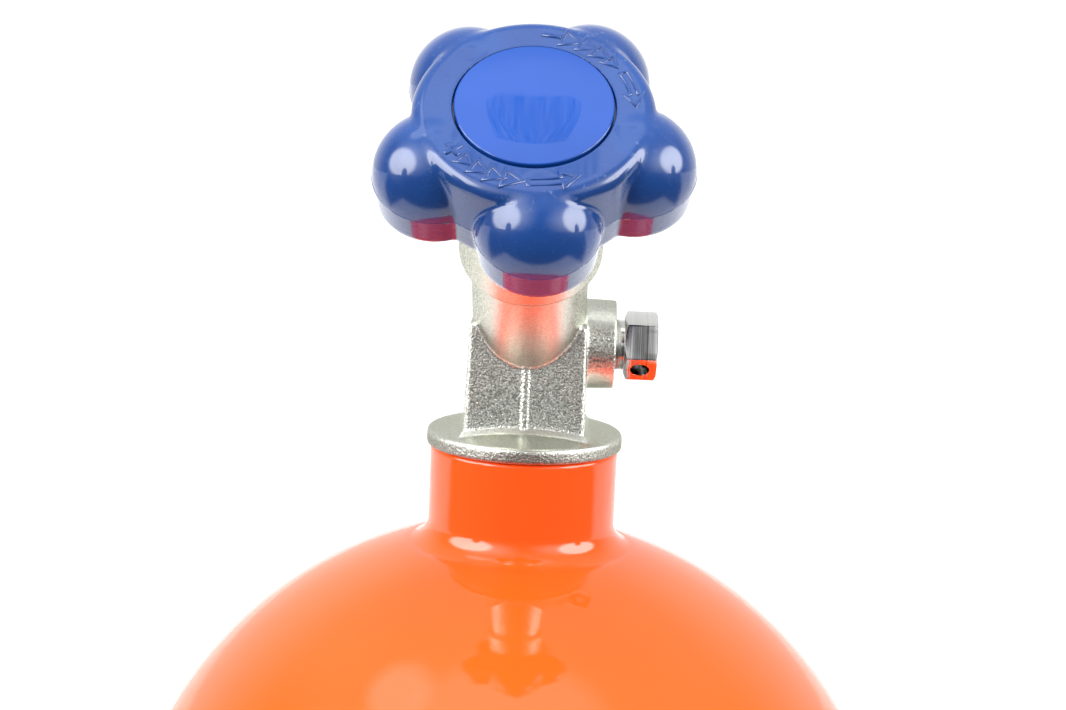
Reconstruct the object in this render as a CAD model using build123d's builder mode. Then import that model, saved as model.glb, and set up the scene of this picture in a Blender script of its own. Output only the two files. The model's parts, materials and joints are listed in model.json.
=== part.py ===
from build123d import *
from math import cos, radians, sin, sqrt, tan
import os

# Compressed-air diving cylinder with a forged valve whose handwheel stem leans forward at 45 degrees.
# Millimetres. +Z is up, the origin is the centre of the base, -Y is the handwheel's side (the front)
# and +X is the side of the safety plug.

# Cylinder
TANK_RADIUS = 92.1
WALL = 12.6
SHOULDER_Z = 544.0
BASE_EDGE_RADIUS = 16.0
BASE_THICKNESS = 21.0
BASE_RING_INNER_RADIUS = 52.0
BASE_DISH_DEPTH = 7.0
INNER_CORNER_RADIUS = 30.0
INNER_DOME_DROP = 4.0
NECK_RADIUS = 21.5
NECK_TOP_Z = SHOULDER_Z + 111.2
NECK_FILLET = 6.0
NECK_EDGE_ROUND = 1.0
NECK_THREAD_RADIUS = 13.25
NECK_GLAND_RADIUS = 16.7
NECK_GLAND_DEPTH = 2.6

# Valve body
CHAMBER_Z = SHOULDER_Z + 135.7
FLANGE_RADIUS = 22.35
FLANGE_SIDE_HEIGHT = 3.4
FLANGE_APEX_Z = SHOULDER_Z + 118.0
BLOCK_BASE_Z = FLANGE_APEX_Z - 4.0
BLOCK_TOP_Z = SHOULDER_Z + 141.0
BLOCK_WIDTH = 27.4
BLOCK_DEPTH = 28.0
BLOCK_DRAFT = 1.6
FLASH_WIDTH = 0.7
FLASH_HEIGHT = 0.3
TAIL_RADIUS = 13.2
TAIL_LENGTH = 27.0
BOSS_RADIUS = 12.7
COLLAR_RADIUS = 15.35
COLLAR_START = 31.7
COLLAR_END = 46.0
STEM_BORE_RADIUS = 7.0
STEM_BORE_FLOOR = 5.0
NOZZLE_TOP = 6.5
NOZZLE_RADIUS = 4.0
ORIFICE_RADIUS = 2.5
INLET_RADIUS = 2.75
BONNET_SEAT = 30.0
BONNET_THREAD_RADIUS = 10.0

# Safety plug on the +X side
PLUG_Z = SHOULDER_Z + 135.3
SIDE_BOSS_RADIUS = 10.6
SIDE_BOSS_END = 19.6
SIDE_BOSS_DRAFT = 1.75
PLUG_BORE_RADIUS = 5.0
PLUG_BORE_FLOOR = 8.0
PLUG_NECK_RADIUS = 5.8
PLUG_HEX_START = 21.6
PLUG_HEX_END = 29.1
PLUG_HEX_FLATS = 13.6
PLUG_HEX_TURN = 15.3
PLUG_VENT_X = 25.35
PLUG_VENT_RADIUS = 2.15
PLUG_VENT_ELEVATION = -45.3
BURST_PASSAGE_RADIUS = 2.2
BURST_GASKET_THICKNESS = 0.8
BURST_DISC_THICKNESS = 0.4

# Outlet on the +Y side
OUTLET_Z = SHOULDER_Z + 144.0
OUTLET_BOSS_RADIUS = 12.6
OUTLET_BOSS_END = 15.0
OUTLET_THREAD_RADIUS = 10.475
OUTLET_END = 31.0
OUTLET_SPIGOT_RADIUS = 8.0
OUTLET_SPIGOT_START = 6.0
OUTLET_BORE_RADIUS = 3.0
OUTLET_CONE_RADIUS = 5.8
OUTLET_CONE_DEPTH = 5.0

# Dip tube
DIP_TUBE_RADIUS = 4.5
DIP_TUBE_BORE_RADIUS = 3.1
DIP_TUBE_LENGTH = 62.0
DIP_TUBE_THREAD = 9.0

# Stem train: distances are measured from the chamber's centre, along the leaning stem axis
STEM_TILT = 45.0
SLIDING_GAP = 0.05
LOWER_STEM_START = 7.2
LOWER_STEM_END = 19.0
SEAT_RADIUS = 4.6
SEAT_THICKNESS = 2.5
SLOT_WIDTH = 3.3
SLOT_DEPTH = 7.0
TANG_THICKNESS = 3.0
TANG_WIDTH = 9.0
TANG_START = 15.5
SPINDLE_FLANGE_START = 23.0
SPINDLE_FLANGE_RADIUS = 6.6
THRUST_WASHER_START = 26.45
THRUST_WASHER_END = 27.5
SPINDLE_RADIUS = 4.5
O_RING_STARTS = (34.0, 39.0)
O_RING_GROOVE_WIDTH = 2.4
O_RING_SECTION = 1.4
BONNET_GASKET_THICKNESS = 1.2
BONNET_HEX_FLATS = 24.0
BONNET_END = 53.0
SQUARE_START = 56.0
SQUARE_END = 66.3
SQUARE_SIZE = 6.4
TIP_RADIUS = 3.0
TIP_END = 73.4

# Handwheel: depths are measured down from its top face
WHEEL_TOP = 77.0
WHEEL_DEPTH = 19.0
WHEEL_WALL = 2.6
DISC_RADIUS = 24.5
DISC_EDGE_ROUND = 3.4
DISC_WALL = 4.6
LOBE_COUNT = 5
LOBE_RADIUS = 12.43
LOBE_PITCH_RADIUS = 20.65
LOBE_START_ANGLE = -85.0
LOBE_SKIRT_DRAFT = 6.0
PARTING_DEPTH = 12.4
RIB_WIDTH = 2.0
RIB_DEPTH = 17.0
HUB_RADIUS = 9.6
HUB_DEPTH = 20.5
INSERT_RADIUS = 7.4
POCKET_RADIUS = 12.2
POCKET_DEPTH = 12.0
POCKET_WALL = 2.4
CAP_RADIUS = 15.55
CAP_GROOVE = 0.4
CAP_THICKNESS = 2.2
CAP_PROUD = 0.5
CAP_EDGE_ROUND = 0.4
CAP_RIM_DEPTH = 5.0
CAP_RIM_WALL = 1.1
NUT_START_DEPTH = 6.6
NUT_HEIGHT = 3.0
NUT_FLATS = 11.0
WASHER_THICKNESS = 1.0
WASHER_RADIUS = 7.0
SPRING_RADIUS = 5.1
SPRING_WIRE = 1.1
SPRING_TURNS = 2.5

LEAN_SIN = sin(radians(STEM_TILT))
LEAN_COS = cos(radians(STEM_TILT))
STEM_AXIS = Axis((0, 0, CHAMBER_Z), (0, -LEAN_SIN, LEAN_COS))
STEM_SECTION = Plane(origin=(0, 0, CHAMBER_Z), x_dir=(1, 0, 0), z_dir=(0, -LEAN_COS, -LEAN_SIN))
TANK_SECTION = Plane.XZ
PLUG_AXIS = Axis((0, 0, PLUG_Z), (1, 0, 0))
PLUG_SECTION = Plane(origin=(0, 0, PLUG_Z), x_dir=(1, 0, 0), z_dir=(0, 0, 1))
OUTLET_AXIS = Axis((0, 0, OUTLET_Z), (0, 1, 0))
OUTLET_SECTION = Plane(origin=(0, 0, OUTLET_Z), x_dir=(1, 0, 0), z_dir=(0, 0, 1))


def stem_plane(distance):
    """The plane square to the stem axis, at a distance from the chamber's centre."""
    centre = (0, -distance * LEAN_SIN, CHAMBER_Z + distance * LEAN_COS)
    return Plane(origin=centre, x_dir=(1, 0, 0), z_dir=(0, -LEAN_SIN, LEAN_COS))


def plug_plane(x):
    """The plane square to the safety plug's axis, at x."""
    return Plane(origin=(x, 0, PLUG_Z), x_dir=(0, 1, 0), z_dir=(1, 0, 0))


def outlet_plane(y):
    """The plane square to the outlet's axis, at y."""
    return Plane(origin=(0, y, OUTLET_Z), x_dir=(1, 0, 0), z_dir=(0, 1, 0))


def section(plane, points):
    """A straight-sided half section, as points of radius and height."""
    with BuildSketch(plane) as half:
        with BuildLine():
            Polyline(*points, close=True)
        make_face()
    return half.sketch


def ring_section(plane, inner, outer, low, high):
    """A rectangular half section between two radii and two heights."""
    return section(plane, [(inner, low), (outer, low), (outer, high), (inner, high)])


def finish(builder, label):
    """Name a finished piece and write its file."""
    builder.part.label = label
    export_step(builder.part, f"parts/{label}.step")


def make_cylinder():
    """The seamless aluminium shell: dished base, straight wall, hemispherical shoulder and neck."""
    dish_radius = (BASE_RING_INNER_RADIUS**2 + BASE_DISH_DEPTH**2) / (2 * BASE_DISH_DEPTH)
    dish_half = BASE_RING_INNER_RADIUS / 2
    dish_half_z = BASE_DISH_DEPTH - dish_radius + sqrt(dish_radius**2 - dish_half**2)
    neck_foot_z = SHOULDER_Z + sqrt(TANK_RADIUS**2 - NECK_RADIUS**2)
    half_way = TANK_RADIUS * sin(radians(45))
    inner_radius = TANK_RADIUS - WALL
    inner_shoulder_z = SHOULDER_Z - INNER_DOME_DROP
    inner_half_way = inner_radius * sin(radians(45))
    bore_foot_z = inner_shoulder_z + sqrt(inner_radius**2 - NECK_THREAD_RADIUS**2)
    gland_z = NECK_TOP_Z - NECK_GLAND_DEPTH
    with BuildPart() as cylinder:
        with BuildSketch(TANK_SECTION) as outside:
            with BuildLine():
                ThreePointArc((0, BASE_DISH_DEPTH), (dish_half, dish_half_z), (BASE_RING_INNER_RADIUS, 0))
                Line((BASE_RING_INNER_RADIUS, 0), (TANK_RADIUS, 0))
                Line((TANK_RADIUS, 0), (TANK_RADIUS, SHOULDER_Z))
                ThreePointArc(
                    (TANK_RADIUS, SHOULDER_Z),
                    (half_way, SHOULDER_Z + half_way),
                    (NECK_RADIUS, neck_foot_z),
                )
                Line((NECK_RADIUS, neck_foot_z), (NECK_RADIUS, NECK_TOP_Z))
                Line((NECK_RADIUS, NECK_TOP_Z), (0, NECK_TOP_Z))
                Line((0, NECK_TOP_Z), (0, BASE_DISH_DEPTH))
            make_face()
            fillet(outside.vertices().sort_by_distance((TANK_RADIUS, 0))[0], BASE_EDGE_RADIUS)
            fillet(outside.vertices().sort_by_distance((NECK_RADIUS, neck_foot_z))[0], NECK_FILLET)
            fillet(outside.vertices().sort_by_distance((NECK_RADIUS, NECK_TOP_Z))[0], NECK_EDGE_ROUND)
        revolve(axis=Axis.Z)
        with BuildSketch(TANK_SECTION) as inside:
            with BuildLine():
                Line((0, BASE_THICKNESS), (inner_radius, BASE_THICKNESS))
                Line((inner_radius, BASE_THICKNESS), (inner_radius, inner_shoulder_z))
                ThreePointArc(
                    (inner_radius, inner_shoulder_z),
                    (inner_half_way, inner_shoulder_z + inner_half_way),
                    (NECK_THREAD_RADIUS, bore_foot_z),
                )
                Polyline(
                    (NECK_THREAD_RADIUS, bore_foot_z),
                    (NECK_THREAD_RADIUS, gland_z),
                    (NECK_GLAND_RADIUS, gland_z),
                    (NECK_GLAND_RADIUS, NECK_TOP_Z),
                    (0, NECK_TOP_Z),
                    (0, BASE_THICKNESS),
                )
            make_face()
            fillet(inside.vertices().sort_by_distance((inner_radius, BASE_THICKNESS))[0], INNER_CORNER_RADIUS)
        revolve(axis=Axis.Z, mode=Mode.SUBTRACT)
    finish(cylinder, "cylinder")


def make_neck_o_ring():
    """The ring squeezed into the gland at the top of the neck, under the valve's flange."""
    middle = (TAIL_RADIUS + NECK_GLAND_RADIUS) / 2
    width = NECK_GLAND_RADIUS - TAIL_RADIUS - 2 * SLIDING_GAP
    with BuildPart() as neck_o_ring:
        with BuildSketch(TANK_SECTION):
            with Locations((middle, NECK_TOP_Z - NECK_GLAND_DEPTH / 2)):
                RectangleRounded(width, NECK_GLAND_DEPTH - SLIDING_GAP, NECK_GLAND_DEPTH * 0.4)
        revolve(axis=Axis.Z)
    finish(neck_o_ring, "neck_o_ring")


def make_valve_body():
    """The forged body: tail, crowned flange, block, leaning boss with its collar, and two side bosses."""
    crown_radius = (FLANGE_RADIUS**2 + (FLANGE_APEX_Z - NECK_TOP_Z - FLANGE_SIDE_HEIGHT) ** 2) / (
        2 * (FLANGE_APEX_Z - NECK_TOP_Z - FLANGE_SIDE_HEIGHT)
    )
    crown_half = FLANGE_RADIUS / 2
    crown_half_z = FLANGE_APEX_Z - crown_radius + sqrt(crown_radius**2 - crown_half**2)
    tail_end_z = NECK_TOP_Z - TAIL_LENGTH
    with BuildPart() as valve_body:
        with BuildSketch(TANK_SECTION) as flange:
            with BuildLine():
                Line((0, NECK_TOP_Z), (FLANGE_RADIUS, NECK_TOP_Z))
                Line((FLANGE_RADIUS, NECK_TOP_Z), (FLANGE_RADIUS, NECK_TOP_Z + FLANGE_SIDE_HEIGHT))
                ThreePointArc(
                    (FLANGE_RADIUS, NECK_TOP_Z + FLANGE_SIDE_HEIGHT),
                    (crown_half, crown_half_z),
                    (0, FLANGE_APEX_Z),
                )
                Line((0, FLANGE_APEX_Z), (0, NECK_TOP_Z))
            make_face()
            side_top = (FLANGE_RADIUS, NECK_TOP_Z + FLANGE_SIDE_HEIGHT)
            fillet(flange.vertices().sort_by_distance(side_top)[0], 1.0)
            fillet(flange.vertices().sort_by_distance((FLANGE_RADIUS, NECK_TOP_Z))[0], 0.6)
        revolve(axis=Axis.Z)
        with BuildSketch(Plane.XY.offset(BLOCK_BASE_Z)):
            RectangleRounded(BLOCK_WIDTH, BLOCK_DEPTH, 1.3)
            Rectangle(FLASH_WIDTH, BLOCK_DEPTH + 2 * FLASH_HEIGHT)
        extrude(amount=BLOCK_TOP_Z - BLOCK_BASE_Z, taper=BLOCK_DRAFT)
        fillet(valve_body.faces().sort_by(Axis.Z)[-1].edges(), 0.9)
        revolve(ring_section(STEM_SECTION, 0, BOSS_RADIUS, 0, COLLAR_START), axis=STEM_AXIS)
        with BuildSketch(STEM_SECTION) as collar:
            with BuildLine():
                Polyline(
                    (0, COLLAR_START),
                    (COLLAR_RADIUS, COLLAR_START),
                    (COLLAR_RADIUS, COLLAR_END),
                    (0, COLLAR_END),
                    close=True,
                )
            make_face()
            fillet(collar.vertices().sort_by_distance((COLLAR_RADIUS, COLLAR_START))[0], 1.4)
            fillet(collar.vertices().sort_by_distance((COLLAR_RADIUS, COLLAR_END))[0], 1.0)
        revolve(axis=STEM_AXIS)
        with BuildSketch(plug_plane(0)):
            Circle(SIDE_BOSS_RADIUS)
        extrude(amount=SIDE_BOSS_END, taper=SIDE_BOSS_DRAFT)
        with BuildSketch(outlet_plane(0)):
            Circle(OUTLET_BOSS_RADIUS)
        extrude(amount=OUTLET_BOSS_END, taper=1.0)
        with BuildSketch(Plane.XY.offset(NECK_TOP_Z)):
            Circle(TAIL_RADIUS)
        extrude(amount=-TAIL_LENGTH)
        chamfer(valve_body.edges().filter_by(GeomType.CIRCLE).sort_by(Axis.Z)[0], 1.5)
        stem_bores = [
            (0, 0, ORIFICE_RADIUS, NOZZLE_TOP + 1),
            (0, NOZZLE_TOP, STEM_BORE_RADIUS, COLLAR_END),
            (NOZZLE_RADIUS, STEM_BORE_FLOOR, STEM_BORE_RADIUS, NOZZLE_TOP),
            (0, BONNET_SEAT, BONNET_THREAD_RADIUS, COLLAR_END),
        ]
        for inner, low, outer, high in stem_bores:
            revolve(ring_section(STEM_SECTION, inner, outer, low, high), axis=STEM_AXIS, mode=Mode.SUBTRACT)
        with BuildSketch(Plane.XY.offset(tail_end_z)):
            Circle(INLET_RADIUS)
        extrude(amount=CHAMBER_Z - tail_end_z, mode=Mode.SUBTRACT)
        with BuildSketch(Plane.XY.offset(tail_end_z)):
            Circle(DIP_TUBE_RADIUS + SLIDING_GAP)
        extrude(amount=DIP_TUBE_THREAD, mode=Mode.SUBTRACT)
        with BuildSketch(plug_plane(0)):
            Circle(BURST_PASSAGE_RADIUS)
        extrude(amount=PLUG_BORE_FLOOR, mode=Mode.SUBTRACT)
        with BuildSketch(plug_plane(PLUG_BORE_FLOOR)):
            Circle(PLUG_BORE_RADIUS)
        extrude(amount=SIDE_BOSS_END - PLUG_BORE_FLOOR, mode=Mode.SUBTRACT)
        with BuildSketch(outlet_plane(0)):
            Circle(ORIFICE_RADIUS)
        extrude(amount=OUTLET_SPIGOT_START, mode=Mode.SUBTRACT)
        with BuildSketch(outlet_plane(OUTLET_SPIGOT_START)):
            Circle(OUTLET_SPIGOT_RADIUS)
        extrude(amount=OUTLET_BOSS_END - OUTLET_SPIGOT_START, mode=Mode.SUBTRACT)
    finish(valve_body, "valve_body")


def make_dip_tube():
    """The short tube that keeps debris out of the valve when the cylinder is upside down."""
    top_z = NECK_TOP_Z - TAIL_LENGTH + DIP_TUBE_THREAD
    bottom_z = top_z - DIP_TUBE_LENGTH
    with BuildPart() as dip_tube:
        with BuildSketch(Plane.XY.offset(bottom_z)):
            Circle(DIP_TUBE_RADIUS)
            Circle(DIP_TUBE_BORE_RADIUS, mode=Mode.SUBTRACT)
        extrude(amount=DIP_TUBE_LENGTH)
        with BuildSketch(Plane.XZ):
            with Locations((0, bottom_z + 8), (0, bottom_z + 15)):
                Circle(1.0)
        extrude(amount=DIP_TUBE_RADIUS + 1, both=True, mode=Mode.SUBTRACT)
    finish(dip_tube, "dip_tube")


def make_outlet_nipple():
    """The screwed-in outlet with its male thread and coned mouth, where a regulator fastens."""
    relief_end = OUTLET_BOSS_END + 2.0
    with BuildPart() as outlet_nipple:
        revolve(
            section(
                OUTLET_SECTION,
                [
                    (OUTLET_BORE_RADIUS, OUTLET_SPIGOT_START),
                    (OUTLET_SPIGOT_RADIUS - SLIDING_GAP, OUTLET_SPIGOT_START),
                    (OUTLET_SPIGOT_RADIUS - SLIDING_GAP, OUTLET_BOSS_END),
                    (OUTLET_THREAD_RADIUS - 1.1, OUTLET_BOSS_END),
                    (OUTLET_THREAD_RADIUS - 1.1, relief_end),
                    (OUTLET_THREAD_RADIUS, relief_end),
                    (OUTLET_THREAD_RADIUS, OUTLET_END - 1.0),
                    (OUTLET_THREAD_RADIUS - 1.0, OUTLET_END),
                    (OUTLET_CONE_RADIUS, OUTLET_END),
                    (OUTLET_BORE_RADIUS, OUTLET_END - OUTLET_CONE_DEPTH),
                ],
            ),
            axis=OUTLET_AXIS,
        )
    finish(outlet_nipple, "outlet_nipple")


def make_safety_plug():
    """The hexagonal plug that holds the burst disc, with two vent holes across its head."""
    shank_start = PLUG_BORE_FLOOR + BURST_GASKET_THICKNESS + BURST_DISC_THICKNESS
    hex_corner = PLUG_HEX_FLATS / sqrt(3)
    vent_direction = (0, -cos(radians(PLUG_VENT_ELEVATION)), sin(radians(PLUG_VENT_ELEVATION)))
    vent_plane = Plane(origin=(PLUG_VENT_X, 0, PLUG_Z), x_dir=(1, 0, 0), z_dir=vent_direction)
    with BuildPart() as safety_plug:
        with BuildSketch(plug_plane(PLUG_HEX_START)):
            RegularPolygon(PLUG_HEX_FLATS / 2, 6, major_radius=False, rotation=PLUG_HEX_TURN)
        extrude(amount=PLUG_HEX_END - PLUG_HEX_START)
        turned_head = section(
            PLUG_SECTION,
            [
                (PLUG_HEX_START, 0),
                (PLUG_HEX_START, hex_corner - 1.3),
                (PLUG_HEX_START + 0.8, hex_corner + 0.1),
                (PLUG_HEX_END - 0.5, hex_corner + 0.1),
                (PLUG_HEX_END, hex_corner - 0.7),
                (PLUG_HEX_END, 0),
            ],
        )
        revolve(turned_head, axis=PLUG_AXIS, mode=Mode.INTERSECT)
        with BuildSketch(plug_plane(SIDE_BOSS_END)):
            Circle(PLUG_NECK_RADIUS)
        extrude(amount=PLUG_HEX_START - SIDE_BOSS_END)
        with BuildSketch(plug_plane(shank_start)):
            Circle(PLUG_BORE_RADIUS - SLIDING_GAP)
        extrude(amount=SIDE_BOSS_END - shank_start)
        with BuildSketch(plug_plane(shank_start)):
            Circle(BURST_PASSAGE_RADIUS)
        extrude(amount=PLUG_VENT_X - shank_start, mode=Mode.SUBTRACT)
        with BuildSketch(vent_plane):
            Circle(PLUG_VENT_RADIUS)
        extrude(amount=PLUG_HEX_FLATS, both=True, mode=Mode.SUBTRACT)
    finish(safety_plug, "safety_plug")


def make_burst_disc():
    """The thin copper disc that gives way when the pressure is too high."""
    start = PLUG_BORE_FLOOR + BURST_GASKET_THICKNESS
    with BuildPart() as burst_disc:
        with BuildSketch(plug_plane(start)):
            Circle(PLUG_BORE_RADIUS - 0.3)
        extrude(amount=BURST_DISC_THICKNESS)
    finish(burst_disc, "burst_disc")


def make_burst_disc_gasket():
    """The soft washer under the burst disc."""
    with BuildPart() as burst_disc_gasket:
        with BuildSketch(plug_plane(PLUG_BORE_FLOOR)):
            Circle(PLUG_BORE_RADIUS - 0.3)
            Circle(BURST_PASSAGE_RADIUS + 0.3, mode=Mode.SUBTRACT)
        extrude(amount=BURST_GASKET_THICKNESS)
    finish(burst_disc_gasket, "burst_disc_gasket")


def make_bonnet_nut():
    """The hexagonal gland nut that closes the stem bore and carries the spindle."""
    shoulder = BONNET_SEAT + BONNET_GASKET_THICKNESS
    nose_radius = STEM_BORE_RADIUS - 2 * SLIDING_GAP
    thread_radius = BONNET_THREAD_RADIUS - SLIDING_GAP
    hex_corner = BONNET_HEX_FLATS / sqrt(3)
    with BuildPart() as bonnet_nut:
        with BuildSketch(stem_plane(COLLAR_END)):
            RegularPolygon(BONNET_HEX_FLATS / 2, 6, major_radius=False)
        extrude(amount=BONNET_END - COLLAR_END)
        turned_head = section(
            STEM_SECTION,
            [
                (0, COLLAR_END),
                (hex_corner + 0.1, COLLAR_END),
                (hex_corner + 0.1, BONNET_END - 0.8),
                (hex_corner - 1.2, BONNET_END),
                (0, BONNET_END),
            ],
        )
        revolve(turned_head, axis=STEM_AXIS, mode=Mode.INTERSECT)
        shank = section(
            STEM_SECTION,
            [
                (0, THRUST_WASHER_END),
                (nose_radius, THRUST_WASHER_END),
                (nose_radius, shoulder),
                (thread_radius, shoulder),
                (thread_radius, COLLAR_END),
                (0, COLLAR_END),
            ],
        )
        revolve(shank, axis=STEM_AXIS)
        with BuildSketch(stem_plane(THRUST_WASHER_END)):
            Circle(SPINDLE_RADIUS + SLIDING_GAP)
        extrude(amount=BONNET_END - THRUST_WASHER_END, mode=Mode.SUBTRACT)
    finish(bonnet_nut, "bonnet_nut")


def make_bonnet_gasket():
    """The flat ring that seals the bonnet nut in the body."""
    outer = BONNET_THREAD_RADIUS - 0.1
    inner = STEM_BORE_RADIUS
    with BuildPart() as bonnet_gasket:
        revolve(
            ring_section(STEM_SECTION, inner, outer, BONNET_SEAT, BONNET_SEAT + BONNET_GASKET_THICKNESS),
            axis=STEM_AXIS,
        )
    finish(bonnet_gasket, "bonnet_gasket")


def make_thrust_washer():
    """The low-friction washer that the spindle's flange turns against."""
    inner = SPINDLE_RADIUS + 0.3
    with BuildPart() as thrust_washer:
        revolve(
            ring_section(
                STEM_SECTION,
                inner,
                SPINDLE_FLANGE_RADIUS,
                THRUST_WASHER_START + SLIDING_GAP,
                THRUST_WASHER_END,
            ),
            axis=STEM_AXIS,
        )
    finish(thrust_washer, "thrust_washer")


def make_upper_stem():
    """The spindle: driving tang, flange, two ring grooves, square for the handwheel and threaded tip."""
    with BuildPart() as upper_stem:
        revolve(
            section(
                STEM_SECTION,
                [
                    (0, SPINDLE_FLANGE_START),
                    (SPINDLE_FLANGE_RADIUS, SPINDLE_FLANGE_START),
                    (SPINDLE_FLANGE_RADIUS, THRUST_WASHER_START),
                    (SPINDLE_RADIUS, THRUST_WASHER_START),
                    (SPINDLE_RADIUS, SQUARE_START),
                    (0, SQUARE_START),
                ],
            ),
            axis=STEM_AXIS,
        )
        for start in O_RING_STARTS:
            groove = ring_section(
                STEM_SECTION,
                SPINDLE_RADIUS - O_RING_SECTION,
                SPINDLE_RADIUS + 1,
                start,
                start + O_RING_GROOVE_WIDTH,
            )
            revolve(groove, axis=STEM_AXIS, mode=Mode.SUBTRACT)
        with BuildSketch(stem_plane(TANG_START)):
            Rectangle(TANG_WIDTH, TANG_THICKNESS)
        extrude(amount=SPINDLE_FLANGE_START - TANG_START)
        with BuildSketch(stem_plane(SQUARE_START)):
            Rectangle(SQUARE_SIZE, SQUARE_SIZE)
        extrude(amount=SQUARE_END - SQUARE_START)
        with BuildSketch(stem_plane(SQUARE_END)):
            Circle(TIP_RADIUS)
        extrude(amount=TIP_END - SQUARE_END)
        chamfer(upper_stem.faces().sort_by(STEM_AXIS)[-1].edges(), 0.5)
    finish(upper_stem, "upper_stem")


def make_stem_o_rings():
    """The two rings in the spindle's grooves, which seal it in the bonnet nut."""
    radius = O_RING_SECTION / 2 - SLIDING_GAP / 2
    with BuildPart() as stem_o_rings:
        for start in O_RING_STARTS:
            with BuildSketch(STEM_SECTION):
                with Locations((SPINDLE_RADIUS - O_RING_SECTION / 2, start + O_RING_GROOVE_WIDTH / 2)):
                    Circle(radius)
            revolve(axis=STEM_AXIS)
    finish(stem_o_rings, "stem_o_rings")


def make_lower_stem():
    """The threaded plug that the tang turns, so that it screws towards or away from the nozzle."""
    radius = STEM_BORE_RADIUS - SLIDING_GAP
    with BuildPart() as lower_stem:
        with BuildSketch(stem_plane(LOWER_STEM_START)):
            Circle(radius)
        extrude(amount=LOWER_STEM_END - LOWER_STEM_START)
        chamfer(lower_stem.edges().filter_by(GeomType.CIRCLE), 0.6)
        with BuildSketch(stem_plane(LOWER_STEM_END)):
            Rectangle(2 * radius + 2, SLOT_WIDTH)
        extrude(amount=-SLOT_DEPTH, mode=Mode.SUBTRACT)
        with BuildSketch(stem_plane(LOWER_STEM_START)):
            Circle(SEAT_RADIUS + SLIDING_GAP)
        extrude(amount=NOZZLE_TOP + SEAT_THICKNESS - LOWER_STEM_START, mode=Mode.SUBTRACT)
    finish(lower_stem, "lower_stem")


def make_seat_insert():
    """The soft disc in the end of the lower stem, which shuts the nozzle."""
    with BuildPart() as seat_insert:
        with BuildSketch(stem_plane(NOZZLE_TOP)):
            Circle(SEAT_RADIUS)
        extrude(amount=SEAT_THICKNESS)
    finish(seat_insert, "seat_insert")


def wheel_cavity():
    """The hollow of the moulded handwheel's underside, left open around its hub, pocket and ribs."""
    inner_lobe = LOBE_RADIUS - WHEEL_WALL
    bottom = stem_plane(WHEEL_TOP - WHEEL_DEPTH)
    with BuildPart() as cavity:
        with BuildSketch(stem_plane(WHEEL_TOP - PARTING_DEPTH)):
            with PolarLocations(LOBE_PITCH_RADIUS, LOBE_COUNT, start_angle=LOBE_START_ANGLE):
                Circle(inner_lobe - 0.9)
        extrude(amount=PARTING_DEPTH - WHEEL_DEPTH)
        with BuildSketch(stem_plane(WHEEL_TOP - DISC_WALL)):
            Circle(DISC_RADIUS - WHEEL_WALL - 0.8)
        extrude(amount=DISC_WALL - WHEEL_DEPTH)
        with Locations(stem_plane(WHEEL_TOP - PARTING_DEPTH)):
            with PolarLocations(LOBE_PITCH_RADIUS, LOBE_COUNT, start_angle=LOBE_START_ANGLE):
                Sphere(inner_lobe - 0.9)
        split(bisect_by=bottom, keep=Keep.TOP)
        with BuildSketch(stem_plane(WHEEL_TOP)):
            Circle(POCKET_RADIUS + POCKET_WALL)
        extrude(amount=-(POCKET_DEPTH + POCKET_WALL), mode=Mode.SUBTRACT)
        with BuildSketch(stem_plane(WHEEL_TOP)):
            Circle(HUB_RADIUS)
        extrude(amount=-HUB_DEPTH, mode=Mode.SUBTRACT)
        with BuildSketch(stem_plane(WHEEL_TOP)):
            with PolarLocations(DISC_RADIUS, 2 * LOBE_COUNT, start_angle=LOBE_START_ANGLE):
                Rectangle(2 * DISC_RADIUS, RIB_WIDTH)
        extrude(amount=-RIB_DEPTH, mode=Mode.SUBTRACT)
    return cavity.part


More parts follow.
